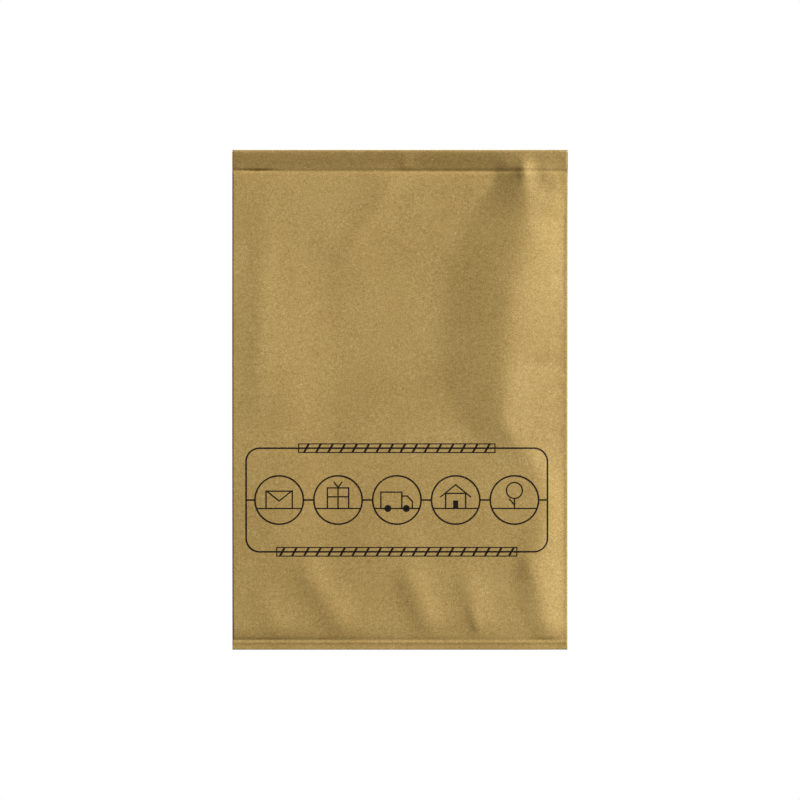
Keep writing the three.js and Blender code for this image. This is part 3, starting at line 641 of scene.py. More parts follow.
@dataclass(frozen=True)
class PaperSkin:
    """The kraft paper: one closed skin with an outer and an inner face.

    Attributes:
        form: sizes and height functions of the envelope.
        near: distances of the stations beside a side fold from that fold.
        even_from: distance from the fold at which the even stations start.
        columns: number of even stations across.
        zone: length of the zones at the seal and at the mouth that have closer rows.
        rows: number of rows in the zone at the seal, in the body and in the zone at the mouth.
        inner_step: one row of the inner face to so many of the outer.
        arc: stations round a side fold, as shares of a quarter turn.
        least: least radius of the inner face in a fold.
        part_run: length above the seal over which the two plies part.
        turn_rows: number of rows round the top fold.
        down_rows: number of rows from there down to the ground.
        flat_rows: number of rows along the ground, and round the flap's corners.
        head_rows: number of rows between the mouth and the top fold.
        wave: height, cell and seed of the unevenness of the flap where it hangs.
        wave_foot: height over which that unevenness sets in.
        wave_head: height below the top fold over which it ends.
    """

    form: EnvelopeForm
    near: tuple[float, ...] = (0.0, 0.12, 0.3, 0.55, 0.85, 1.2, 1.6, 2.1, 2.8, 3.7, 4.8)
    even_from: float = 5.9
    columns: int = 128
    zone: float = 6.0
    rows: tuple[int, int, int] = (26, 172, 10)
    inner_step: int = 7
    arc: tuple[float, ...] = (0.67, 0.33, 0.0, -0.33, -0.67)
    least: float = 0.015
    part_run: float = 1.5
    turn_rows: int = 9
    down_rows: int = 13
    flat_rows: tuple[int, int] = (10, 9)
    head_rows: int = 27
    wave: Noise = (0.12, 13.0, 31)
    wave_foot: float = 4.0
    wave_head: float = 1.6

    @cached_property
    def units(self) -> Array:
        """Stations across a panel, closest at the sides.

        Returns:
            Their places as shares of half the width.
        """
        width, near = self.form.width, np.array(self.near)
        middle = np.linspace(self.even_from, width - self.even_from, self.columns)
        return np.concatenate([near, middle, width - near[::-1]]) / self.form.half - 1.0

    def row_places(self) -> Array:
        """Rows from the bottom edge to the mouth, closest at the seal and below the mouth.

        Returns:
            Their heights.
        """
        form = self.form
        stops = (-form.top, form.seam + self.zone, form.mouth - self.zone, form.mouth)
        parts = [np.linspace(*ends) for ends in zip(stops[:-1], stops[1:], self.rows)]
        return np.concatenate([parts[0], parts[1][1:], parts[2][1:]])

    def ring(self, y: Array, inside: bool) -> Array:
        """Rings round the bag: front from left to right, right fold, back, left fold.

        Args:
            y: heights of the rings.
            inside: whether the inner face of the paper is meant.

        Returns:
            Rings by points by 3 array.
        """
        form = self.form
        y = y[:, None]
        radius = form.fold_radius(y)
        centre = {side: form.fold_base(side * form.half, y) + radius for side in (-1, 1)}
        face = np.maximum(radius - form.paper, self.least) if inside else radius
        x = self.units[None, :] * (form.half - radius)
        y_grid = np.broadcast_to(y, x.shape)
        front, back = form.front(x, y_grid), form.back(x, y_grid)
        if inside:
            middle = form.fold_base(x, y) + radius
            parted = smooth(y, form.seam, form.seam + self.part_run)
            front = middle + face + (front - form.ply(x, y_grid) - middle - face) * parted
            back = middle - face + (back + form.paper - middle + face) * parted
        for column, side in ((0, -1), (-1, 1)):
            front[:, column] = (centre[side] + face)[:, 0]
            back[:, column] = (centre[side] - face)[:, 0]
        turn = np.array(self.arc)[None, :] * np.pi / 2
        arc_x = form.half - radius + face * np.cos(turn)
        arc_y = np.broadcast_to(y, arc_x.shape)
        arc_z = {side: centre[side] + face * np.sin(turn) for side in (-1, 1)}
        parts = [
            np.stack([x, y_grid, front], axis=-1),
            np.stack([arc_x, arc_y, arc_z[1]], axis=-1),
            np.stack([x, y_grid, back], axis=-1)[:, ::-1],
            np.stack([-arc_x, arc_y, arc_z[-1]], axis=-1)[:, ::-1],
        ]
        return np.concatenate(parts, axis=1)

    @property
    def half_arc(self) -> int:
        """Number of stations from the front round a side fold to its middle."""
        return len(self.arc) // 2 + 1

    def upper_part(self, ring: Array) -> Array:
        """The part of rings that runs on past the mouth: the front and half of each side fold.

        Args:
            ring: rings of points or of point numbers.

        Returns:
            That part of each.
        """
        count, around = len(self.units), 2 * (len(self.units) + len(self.arc))
        left = np.arange(around - self.half_arc, around)
        return ring[:, np.concatenate([left, np.arange(count + self.half_arc)])]

    def lower_part(self, ring: Array) -> Array:
        """The rest of rings, from the right side fold to the left one, both ends shared.

        Args:
            ring: rings of points or of point numbers.

        Returns:
            That part of each.
        """
        count, around = len(self.units), 2 * (len(self.units) + len(self.arc))
        return ring[:, count + self.half_arc - 1 : around - self.half_arc + 1]

    def open_rows(self, y: Array, inside: bool) -> Array:
        """Rows of the front panel past the mouth, with the side folds opened out.

        Args:
            y: heights of the rows.
            inside: whether the inner face of the paper is meant.

        Returns:
            Rows by points by 3 array.
        """
        form = self.form
        row, outer = (self.upper_part(self.ring(y, face)) for face in (inside, False))
        flatten = smooth(y, form.mouth, form.lip_y)[:, None]
        level = form.lip_height - (form.paper if inside else 0.0)
        sides = np.ones(row.shape[1])
        sides[self.half_arc : -self.half_arc] = 0.0
        z = row[..., 2] + (level - row[..., 2]) * flatten * sides
        x = row[..., 0] + (outer[..., 0] - row[..., 0]) * flatten
        return np.stack([x, row[..., 1], z], axis=-1)

    def flap_path(self) -> tuple[Array, Array]:
        """Line up the middle of the flap's outer face: round the top fold, down, on the ground.

        The bend is an arc, the way down a parabola that ends level, and the rest is straight.

        Returns:
            Points (y, z) and the unit directions (dy, dz) at them.
        """
        form = self.form
        a = np.linspace(0.0, form.flap_turn, self.turn_rows)
        over = [np.sin(a), np.cos(a) - 1]
        bend = np.stack(over, -1) * form.lip_radius + [form.lip_y, form.lip_height]
        bend_way = np.stack([np.cos(a), -np.sin(a)], -1)
        leave, way = bend[-1], bend_way[-1]
        knee = leave - way * leave[1] / way[1]
        land = knee - np.array([form.flap_ease, 0.0])
        t = np.linspace(0.0, 1.0, self.down_rows)[1:, None]
        first, second = leave + (knee - leave) * t, knee + (land - knee) * t
        down = first + (second - first) * t
        down_way = (second - first) / np.linalg.norm(second - first, axis=1, keepdims=True)
        rounding = form.flap_end + form.flap_corner
        quarter = np.linspace(0.0, np.pi / 2, self.flat_rows[1])
        straight = np.linspace(land[0], rounding, self.flat_rows[0])[1:-1]
        flat_y = np.concatenate([straight, rounding - form.flap_corner * np.sin(quarter)])
        flat = np.stack([flat_y, np.zeros_like(flat_y)], -1)
        flat_way = np.tile([-1.0, 0.0], (len(flat), 1))
        return np.concatenate([bend, down, flat]), np.concatenate([bend_way, down_way, flat_way])

    def flap_rows(self, inside: bool) -> Array:
        """Rows from just past the mouth over the top fold to the flap's free edge.

        Args:
            inside: whether the inner face of the paper is meant.

        Returns:
            Rows by points by 3 array.
        """
        form = self.form
        places = np.linspace(form.mouth, form.lip_y, self.head_rows)[1:-1]
        lip = self.open_rows(np.array([form.lip_y]), False)[0, :, 0]
        path, way = self.flap_path()
        depth = form.paper if inside else 0.0
        share = form.flap_half(path[:, 0]) / form.half
        x = lip[None, :] * share[:, None]
        y = np.broadcast_to((path[:, 0] + way[:, 1] * depth)[:, None], x.shape)
        z = np.broadcast_to((path[:, 1] - way[:, 0] * depth)[:, None], x.shape)
        height, cell, seed = self.wave
        hangs = smooth(path[:, 1], 0.0, self.wave_foot)
        hangs = hangs * (1 - smooth(path[:, 1], form.lip_height - self.wave_head, form.lip_height))
        wave = height * value_noise(x, y, cell, seed) * hangs[:, None]
        flap = np.stack([x, y + wave, z], axis=-1)
        return np.concatenate([self.open_rows(places, inside), flap])

    def build(self) -> bpy.types.Object:
        """Makes the skin: outer and inner rings, the seal's end, the mouth's edge and the flap.

        Returns:
            The piece.
        """
        store = PointStore()
        y = self.row_places()
        start = int(np.argmin(np.abs(y - self.form.seam)))
        inner_y = np.unique(np.concatenate([y[start :: self.inner_step], y[-1:]]))
        outer = store.add(self.ring(y, False))
        inner = store.add(self.ring(inner_y, True))
        for face, inward in ((outer, False), (inner, True)):
            store.skin(np.concatenate([face, face[:, :1]], axis=1), inward)
            self.close(store, face[0], inward)
        store.strip(self.lower_part(outer[-1:])[0], self.lower_part(inner[-1:])[0])

        rows = {side: store.add(self.flap_rows(side)) for side in (False, True)}
        outside = np.concatenate([self.upper_part(outer[-1:]), rows[False]])
        inside = np.concatenate([self.upper_part(inner[-1:]), rows[True]])
        store.skin(outside)
        store.skin(inside, inward=True)
        store.strip(outside[:, 0], inside[:, 0])
        store.strip(inside[:, -1], outside[:, -1])
        store.strip(outside[-1], inside[-1])
        return store.build("kraft_envelope")

    def close(self, store: PointStore, ring: Array, inward: bool) -> None:
        """Closes the first ring of a face with a flat end.

        Args:
            store: the mesh so far.
            ring: point numbers of the ring.
            inward: whether the end faces into the envelope.
        """
        count, arc = len(self.units), len(self.arc)
        front, right = ring[:count], ring[count : count + arc][::-1]
        under, left = ring[count + arc : 2 * count + arc][::-1], ring[2 * count + arc :][::-1]
        ends = PointStore()
        ends.strip(under, front)
        ends.fan(front[-1], np.concatenate([under[-1:], right]))
        ends.fan(front[0], np.concatenate([left, under[:1]]))
        store.faces += [faces[:, ::-1] if inward else faces for faces in ends.faces]


@dataclass(frozen=True)
class BubbleLining:
    """The loose pouch of bubble film: two layers, domed outside and flat towards the pocket.

    Attributes:
        form: the envelope that it lies in.
        left: x of its left edge.
        right: x of its right edge.
        bottom: y of its sealed lower edge.
        top: y of its open upper edge.
        pitch: distance between neighbouring bubbles.
        bubble: radius of a bubble.
        steepness: how quickly a bubble reaches its full height.
        tallest: most that a bubble stands over the film.
        film: thickness of a layer between the bubbles.
        thinnest: least thickness where the paper presses on it.
        pocket: gap between the two layers.
        rim_gap: half of that gap at the sealed rim.
        rim: distance from the edges over which the pocket opens.
        fringe: distance from the edges over which the bubbles set in.
        middle: height of the middle of the pocket.
        seat: least room kept between that middle and the paper.
        clearance: distance to the paper.
        slope_allowance: added to that distance for slopes, in plies of the paper.
        reach: how far round each point the lining keeps clear of the paper.
        probes: number of directions in which that is looked up.
        step: size of a grid square.
    """

    form: EnvelopeForm
    left: float = -68.5
    right: float = 68.5
    bottom: float = -105.4
    top: float = 101.5
    pitch: float = 10.0
    bubble: float = 4.6
    steepness: float = 1.2
    tallest: float = 4.6
    film: float = 0.35
    thinnest: float = 0.1
    pocket: float = 1.0
    rim_gap: float = 0.02
    rim: Pair = (1.0, 6.0)
    fringe: Pair = (0.5, 3.0)
    middle: float = 4.2
    seat: float = 0.35
    clearance: float = 0.45
    slope_allowance: float = 1.3
    reach: float = 2.2
    probes: int = 8
    step: float = 1.4

    def domes(self, x: Array, y: Array) -> Array:
        """Bubble profile on a honeycomb, sqrt(1 - (d / r)^2) with d from the nearest middle.

        Args:
            x: across.
            y: up.

        Returns:
            0 on the film between bubbles to 1 over most of a bubble.
        """
        row_step = self.pitch * np.sqrt(3) / 2
        nearest = np.full(np.shape(x), np.inf)
        base = np.floor(y / row_step)
        for row in (base, base + 1):
            shift = 0.5 * self.pitch * (row % 2)
            column = np.round((x - shift) / self.pitch)
            distance = np.hypot(x - shift - column * self.pitch, y - row * row_step)
            nearest = np.minimum(nearest, distance)
        dome = np.sqrt(np.clip(1 - (nearest / self.bubble) ** 2, 0.0, 1.0))
        return np.minimum(1.0, self.steepness * dome)

    def limits(self, x: Array, y: Array) -> tuple[Array, Array]:
        """Heights that the lining stays below and above, clear of the paper round each point.

        Args:
            x: across.
            y: up.

        Returns:
            Highest and lowest height.
        """
        high, low = self.form.front(x, y), self.form.back(x, y)
        for dx, dy in round_points(0.0, 0.0, self.reach, full_turn(self.probes)):
            high = np.minimum(high, self.form.front(x + dx, y + dy))
            low = np.maximum(low, self.form.back(x + dx, y + dy))
        gap = self.clearance + self.slope_allowance * self.form.paper
        return high - gap, low + gap

    def build(self) -> bpy.types.Object:
        """Makes both layers as one object.

        Returns:
            The piece.
        """
        across = round((self.right - self.left) / self.step) + 1
        up = round((self.top - self.bottom) / self.step) + 1
        x, y = np.meshgrid(
            np.linspace(self.left, self.right, across), np.linspace(self.bottom, self.top, up)
        )
        high, low = self.limits(x, y)
        lowest = low + self.seat
        seat = np.clip(self.middle, lowest, np.maximum(high - self.seat, lowest))
        sides = np.minimum(np.minimum(x - self.left, self.right - x), y - self.bottom)
        gap = self.rim_gap + 0.5 * self.pocket * smooth(sides, *self.rim)
        domed = self.domes(x, y) * smooth(np.minimum(sides, self.top - y), *self.fringe)
        store = PointStore()
        for side, limit in ((1.0, high), (-1.0, low)):
            flat = seat + side * gap
            room = side * (limit - flat)
            film = np.clip(room, self.thinnest, self.film)
            outer = flat + side * (film + np.clip(room - film, 0.0, self.tallest) * domed)
            store.slab(x, y, np.minimum(flat, outer), np.maximum(flat, outer))
        return store.build("bubble_film_pouch")


@dataclass(frozen=True)
class FlapStrip:
    """A thin band across the flap, such as the adhesive or the liner over it.

    Attributes:
        name: name of the piece.
        form: the envelope whose flap it lies on.
        from_end: distance from the flap's free edge.
        width: size up the flap.
        end_gap: distance from the flap's slanting sides.
        low: height of its underside.
        thickness: its thickness.
        corner: radius of its corners.
        waviness: how uneven its upper face is.
        cell: size of that unevenness.
        seed: its seed.
        edge_share: thickness at its edges, as a share of the whole.
        edge_run: distance from its long edges over which it gets thicker.
        end_run: the same from its ends, as a share of half its length.
        grid: number of rows in a corner, of rows between the corners, and of columns.
    """

    name: str
    form: EnvelopeForm
    from_end: float
    width: float
    end_gap: float
    low: float
    thickness: float
    corner: float
    waviness: float
    cell: float = 3.1
    seed: int = 41
    edge_share: float = 0.7
    edge_run: float = 0.6
    end_run: float = 0.01
    grid: tuple[int, int, int] = (6, 12, 121)

    def build(self) -> bpy.types.Object:
        """Makes the band, a closed slab with rounded corners and a faintly uneven upper face.

        Returns:
            The piece.
        """
        lower = self.form.flap_end + self.from_end
        corner_rows, inner_rows, columns = self.grid
        bend = self.corner * (1 - np.cos(np.linspace(0.0, np.pi / 2, corner_rows)))
        inner = np.linspace(self.corner, self.width - self.corner, inner_rows)
        rows = np.concatenate([bend[:-1], inner, (self.width - bend)[::-1][1:]])
        edge = np.minimum(rows, self.width - rows)
        into = self.corner - np.minimum(edge, self.corner)
        inset = self.corner - np.sqrt(np.clip(self.corner**2 - into**2, 0.0, None))
        half = float(self.form.flap_half(np.array([lower]))[0]) - self.end_gap - inset
        share = np.linspace(-1.0, 1.0, columns)
        x = share[None, :] * half[:, None]
        y = np.broadcast_to((lower + rows)[:, None], x.shape)
        ends = smooth(1 - np.abs(share), 0.0, self.end_run)
        inside = smooth(edge, 0.0, self.edge_run)[:, None] * ends[None, :]
        uneven = self.waviness * (value_noise(x, y, self.cell, self.seed) - 1.0) * inside
        thick = self.thickness * (self.edge_share + (1 - self.edge_share) * inside)
        store = PointStore()
        store.slab(x, y, np.full(x.shape, self.low), self.low + thick + uneven)
        return store.build(self.name)


# Print


@dataclass(frozen=True)
class Drawing:
    """A picture that stands on its ground line, in shares of its ring's radius.

    Attributes:
        boxes: middle x, width and height of each box.
        lines: corners of each open line.
        loops: corners of each closed line.
        hoops: height and radius of each circle on x 0.
        discs: x and radius of each filled disc on the ground line.
        posts: height and width of each thick upright line on x 0.
    """

    boxes: tuple[Triple, ...] = ()
    lines: tuple[tuple[Pair, ...], ...] = ()
    loops: tuple[tuple[Pair, ...], ...] = ()
    hoops: tuple[Pair, ...] = ()
    discs: tuple[Pair, ...] = ()
    posts: tuple[Pair, ...] = ()


class Picture(Enum):
    """What stands in the rings of the print, from left to right."""

    LETTER = Drawing(
        boxes=((0.0, 1.05, 0.72),), lines=(((-0.525, 0.72), (0.0, 0.3), (0.525, 0.72)),)
    )
    PARCEL = Drawing(
        boxes=((0.0, 0.85, 0.85),),
        lines=(
            ((0.0, 0.0), (0.0, 0.85)),
            ((-0.425, 0.4675), (0.425, 0.4675)),
            ((-0.17, 1.0625), (0.0, 0.85), (0.17, 1.0625)),
        ),
    )
    VAN = Drawing(
        boxes=((-0.22, 0.84, 0.68),),
        loops=(((0.2, 0.0), (0.62, 0.0), (0.62, 0.28), (0.42, 0.5), (0.2, 0.5)),),
        discs=((-0.36, 0.14), (0.38, 0.14)),
    )
    HOUSE = Drawing(
        boxes=((0.0, 0.8, 0.63),),
        lines=(((-0.62, 0.45), (0.0, 0.95), (0.62, 0.45)),),
        posts=((0.32, 0.2),),
    )
    TREE = Drawing(
        lines=(((0.0, 0.0), (0.0, 0.42)), ((-0.2, 0.38), (0.0, 0.14))), hoops=((0.72, 0.32),)
    )


@dataclass(frozen=True)
class PrintedFront:
    """Ink on the front: a rounded frame with two hatched bands, and a row of ringed pictures.

    Every line is a thin closed ribbon that follows the paper.

    Attributes:
        form: the envelope that it is printed on.
        left: outer left limit of the frame.
        right: outer right limit.
        top: upper limit.
        bottom: lower limit.
        corner: radius of the frame's corners.
        line: width of the frame's and the rings' lines.
        fine: width of the pictures' lines.
        ring: outer radius of a ring.
        ground: height of the line the pictures stand on, as a share of the ring's radius.
        band_height: height of a hatched band.
        upper_band: width of the band on the frame's upper side.
        lower_band: width of the band on its lower side.
        rail: width of a band's outline.
        hatch_step: distance between hatch lines.
        hatch_line: width of a hatch line.
        hatch_lean: how far a hatch line leans over the band's height.
        proud: height of the ink over the paper.
        sunk: how far it reaches into the paper.
        step: most distance between the points of a line.
        sharpest: least share of the line's width kept in a mitre.
        stations: number of points in a corner of the frame, round a ring, a hoop and a disc.
    """

    form: EnvelopeForm
    left: float = -70.5
    right: float = 67.7
    top: float = -21.6
    bottom: float = -69.6
    corner: float = 6.5
    line: float = 0.72
    fine: float = 0.58
    ring: float = 11.4
    ground: float = -0.34
    band_height: float = 4.4
    upper_band: float = 90.0
    lower_band: float = 110.0
    rail: float = 0.45
    hatch_step: float = 5.5
    hatch_line: float = 0.9
    hatch_lean: float = 2.2
    proud: float = 0.055
    sunk: float = 0.05
    step: float = 1.1
    sharpest: float = 0.35
    stations: tuple[int, int, int, int] = (13, 72, 32, 28)

    def build(self) -> bpy.types.Object:
        """Makes the whole print as one object.

        Returns:
            The piece.
        """
        store = PointStore()
        self.add_frame(store)
        self.add_rings(store)
        self.add_band(store, self.top - self.line / 2, self.upper_band)
        self.add_band(store, self.bottom + self.line / 2, self.lower_band)
        return store.build("printed_front", smooth_faces=False)

    def on_paper(self, flat: Array, height: float) -> Array:
        """Points of a plane line set at a height over the paper."""
        return np.column_stack([flat, self.form.front(flat[:, 0], flat[:, 1]) + height])

    def dense(self, points: Array, closed: bool) -> Array:
        """The same line with points at most a step apart.

        Args:
            points: its corners.
            closed: whether it runs back to its start.

        Returns:
            Its points.
        """
        loop = np.vstack([points, points[:1]]) if closed else points
        parts = []
        for start, end in zip(loop[:-1], loop[1:]):
            count = max(1, int(np.ceil(np.hypot(*(end - start)) / self.step)))
            shares = np.linspace(0.0, 1.0, count, endpoint=False)[:, None]
            parts.append(start + (end - start) * shares)
        return np.vstack(parts if closed else [*parts, points[-1:]])

    def mitred(self, points: Array, width: float, closed: bool) -> tuple[Array, Array]:
        """Lines half the width to the left and to the right of a line, mitred at its corners.

        Args:
            points: the line's points.
            width: the width between the two lines.
            closed: whether it runs back to its start.

        Returns:
            The left line and the right one.
        """
        ahead = np.roll(points, -1, axis=0) - points
        behind = points - np.roll(points, 1, axis=0)
        if not closed:
            ahead[-1], behind[0] = behind[-1], ahead[0]
        normals = [
            np.column_stack([-way[:, 1], way[:, 0]]) / np.hypot(way[:, 0], way[:, 1])[:, None]
            for way in (ahead, behind)
        ]
        total = normals[0] + normals[1]
        total = total / np.hypot(total[:, 0], total[:, 1])[:, None]
        reach = np.clip((total * normals[0]).sum(axis=1), self.sharpest, 1.0)
        offset = total * (width / 2 / reach)[:, None]
        return points + offset, points - offset

    def stroke(self, store: PointStore, points: Array, width: float, closed: bool = False) -> None:
        """Adds a line as a closed ribbon.

        Args:
            store: the mesh so far.
            points: corners of the line.
            width: its width.
            closed: whether it runs back to its start.
        """
        line = self.dense(np.array(points, float), closed)
        left, right = self.mitred(line, width, closed)
        over = [self.on_paper(side, self.proud) for side in (right, left)]
        under = [self.on_paper(side, -self.sunk) for side in (left, right)]
        ids = store.add(np.stack(over + under))
        if closed:
            ids = np.concatenate([ids, ids[:, :1]], axis=1)
        for k in range(4):
            store.strip(ids[k], ids[(k + 1) % 4])
        if not closed:
            store.faces.append(np.array([ids[:, 0], ids[::-1, -1]]))

    def add_disc(self, store: PointStore, x: float, y: float, radius: float) -> None:
        """Adds a filled disc of ink.

        Args:
            store: the mesh so far.
            x: its middle across.
            y: its middle up.
            radius: its radius.
        """
        flat = round_points(x, y, radius, full_turn(self.stations[3]))
        rim, tips = (
            store.add(np.stack([self.on_paper(part, -self.sunk), self.on_paper(part, self.proud)]))
            for part in (flat, np.array([[x, y]]))
        )
        rim = np.concatenate([rim, rim[:, :1]], axis=1)
        store.strip(rim[0], rim[1])
        store.fan(int(tips[1, 0]), rim[1])
        store.fan(int(tips[0, 0]), rim[0][::-1])

    def add_frame(self, store: PointStore) -> None:
        """Adds the rounded frame.

        Args:
            store: the mesh so far.
        """
        reach = self.corner  # from the outer limit to the middle of a corner
        right, left = self.right - reach, self.left + reach
        top, bottom = self.top - reach, self.bottom + reach
        quarter = np.linspace(0.0, np.pi / 2, self.stations[0])
        middles = ((right, top), (left, top), (left, bottom), (right, bottom))
        points = [
            round_points(x, y, self.corner - self.line / 2, quarter + turn * np.pi / 2)
            for turn, (x, y) in enumerate(middles)
        ]
        self.stroke(store, np.concatenate(points), self.line, closed=True)

    def add_rings(self, store: PointStore) -> None:
        """Adds the rings, the bars between them, their ground lines and the pictures.

        Args:
            store: the mesh so far.
        """
        count, edge = len(Picture), self.line / 2
        gap = (self.right - self.left - 2 * count * self.ring) / (count + 1)
        middle = 0.5 * (self.top + self.bottom)
        ground = middle + self.ground * self.ring
        chord = self.ring * np.sqrt(1 - self.ground**2) - 0.6 * self.line
        bar_start = self.left + edge
        for i, picture in enumerate(Picture):
            x = self.left + gap + self.ring + i * (2 * self.ring + gap)
            circle = round_points(x, middle, self.ring - edge, full_turn(self.stations[1]))
            self.stroke(store, circle, self.line, closed=True)
            self.stroke(store, [(bar_start, middle), (x - self.ring + edge, middle)], self.line)
            self.stroke(store, [(x - chord, ground), (x + chord, ground)], self.fine)
            self.add_picture(store, picture.value, x, ground)
            bar_start = x + self.ring - edge
        self.stroke(store, [(bar_start, middle), (self.right - edge, middle)], self.line)

    def add_picture(self, store: PointStore, drawing: Drawing, x: float, y: float) -> None:
        """Adds one picture.

        Args:
            store: the mesh so far.
            drawing: what it shows.
            x: its middle across.
            y: its ground line.
        """
        r = self.ring
        place = np.array([x, y])
        for middle, width, height in drawing.boxes:
            left, right = middle - width / 2, middle + width / 2
            upper = height - self.fine / 2 / r
            corners = np.array([(left, 0.0), (right, 0.0), (right, upper), (left, upper)])
            self.stroke(store, place + r * corners, self.fine, closed=True)
        for shapes, closed in ((drawing.lines, False), (drawing.loops, True)):
            for corners in shapes:
                self.stroke(store, place + r * np.array(corners), self.fine, closed)
        for height, radius in drawing.hoops:
            hoop = round_points(x, y + height * r, radius * r, full_turn(self.stations[2]))
            self.stroke(store, hoop, self.fine, closed=True)
        for across, radius in drawing.discs:
            self.add_disc(store, x + across * r, y, radius * r)
        for height, width in drawing.posts:
            self.stroke(store, [(x, y), (x, y + height * r)], width * r)

    def add_band(self, store: PointStore, middle: float, width: float) -> None:
        """Adds a hatched band centred on a height of the frame.

        Args:
            store: the mesh so far.
            middle: y of the band's middle.
            width: its width.
        """
        centre = 0.5 * (self.left + self.right)
        aside = width / 2 - self.rail / 2
        rise = self.band_height / 2 - self.rail / 2
        corners = np.array([(-aside, -rise), (aside, -rise), (aside, rise), (-aside, rise)])
        self.stroke(store, corners + (centre, middle), self.rail, closed=True)
        lean = self.hatch_lean / 2
        count = int((width - self.hatch_lean - self.hatch_line) // self.hatch_step)
        for x in centre + self.hatch_step * (np.arange(count + 1) - 0.5 * count):
            ends = [(x - lean, middle - rise), (x + lean, middle + rise)]
            self.stroke(store, ends, self.hatch_line)


# Finishes

COLOUR, NUMBER, VECTOR = "NodeSocketColor", "NodeSocketFloat", "NodeSocketVector"


class Graph:
    """Adds nodes and links to a node tree."""

    def __init__(self, tree: bpy.types.NodeTree) -> None:
        """Keeps the tree."""
        self.tree = tree

    def fill(self, node: bpy.types.Node, inputs: dict[str | int, object]) -> bpy.types.Node:
        """Links or sets some of a node's inputs.

        Args:
            node: the node.
            inputs: a socket to link or a value to set, for each input's name or number.

        Returns:
            The node.
        """
        for key, value in inputs.items():
            if isinstance(value, Socket):
                self.tree.links.new(value, node.inputs[key])
            else:
                node.inputs[key].default_value = value
        return node

    def node(
        self, kind: str, inputs: dict[str | int, object] | None = None, **settings: object
    ) -> bpy.types.Node:
        """New node.

        Args:
            kind: its type.
            inputs: as for fill.
            **settings: its properties.

        Returns:
            The node.
        """
        made = self.tree.nodes.new(kind)
        for key, value in settings.items():
            setattr(made, key, value)
        return self.fill(made, inputs or {})

    def math(self, operation: str, a: object, b: object) -> Socket:
        """Result of a math node."""
        return self.node("ShaderNodeMath", {0: a, 1: b}, operation=operation).outputs[0]

    def total(self, terms: tuple[tuple[Socket, float], ...]) -> Socket:
        """Sum of values, each times its weight.

        Args:
            terms: the values, each with its weight.

        Returns:
            The sum.
        """
        parts = [self.math("MULTIPLY", value, weight) for value, weight in terms]
        result = parts[0]
        for part in parts[1:]:
            result = self.math("ADD", result, part)
        return result

    def noise(self, place: Socket, scale: float, detail: float, roughness: float = 0.5) -> Socket:
        """Noise from about 0 to 1, its middle at 0.5."""
        inputs = {"Vector": place, "Scale": scale, "Detail": detail, "Roughness": roughness}
        return self.node("ShaderNodeTexNoise", inputs).outputs[0]

    def stretch(self, place: Socket, scale: Triple, turn: float) -> Socket:
        """Coordinates turned about Z and scaled."""
        inputs = {"Vector": place, "Rotation": (0.0, 0.0, turn), "Scale": scale}
        return self.node("ShaderNodeMapping", inputs, vector_type="TEXTURE").outputs[0]

    def span(self, value: Socket, low: float, high: float, to: Pair = (0.0, 1.0)) -> Socket:
        """Value mapped to another range, eased between its ends and held beyond them.

        Args:
            value: the value.
            low: where the first end of the range is reached.
            high: where the other end is reached.
            to: the two ends.

        Returns:
            The mapped value.
        """
        inputs = {"Value": value, "From Min": low, "From Max": high}
        inputs |= {"To Min": to[0], "To Max": to[1]}
        return self.node("ShaderNodeMapRange", inputs, interpolation_type="SMOOTHSTEP").outputs[0]

    def blend(self, share: Socket, a: object, b: object) -> Socket:
        """Two colours mixed, a where the share is 0 and below and b where it is 1 and above."""
        return self.node("ShaderNodeMix", {0: share, 6: a, 7: b}, data_type="RGBA").outputs[2]

    def bump(self, height: Socket, relief: float) -> Socket:
        """Normal of a relief of so many millimetres."""
        inputs = {"Height": height, "Distance": relief * MM, "Strength": 1.0}
        return self.node("ShaderNodeBump", inputs).outputs["Normal"]


def new_group(
    name: str, takes: dict[str, str], gives: dict[str, str]
) -> tuple[Graph, bpy.types.Node, bpy.types.Node]:
    """Shader node group with named sockets.

    Args:
        name: name of the group.
        takes: input names with their socket types.
        gives: output names with their socket types.

    Returns:
        The group's graph, the node that holds its inputs and the node that takes its outputs.
    """
    tree = bpy.data.node_groups.new(name, "ShaderNodeTree")
    for sockets, way in ((takes, "INPUT"), (gives, "OUTPUT")):
        for key, kind in sockets.items():
            tree.interface.new_socket(key, in_out=way, socket_type=kind)
    graph = Graph(tree)
    return graph, graph.node("NodeGroupInput"), graph.node("NodeGroupOutput")


def millimetres_group() -> bpy.types.NodeTree:
    """Group that gives object coordinates in millimetres.

    Returns:
        The group.
    """
    graph, _, gives = new_group("Millimetres", {}, {"Vector": VECTOR})
    place = graph.node("ShaderNodeTexCoord").outputs["Object"]
    scaled = graph.node("ShaderNodeVectorMath", {0: place, "Scale": 1 / MM}, operation="SCALE")
    graph.fill(gives, {"Vector": scaled.outputs[0]})
    return graph.tree


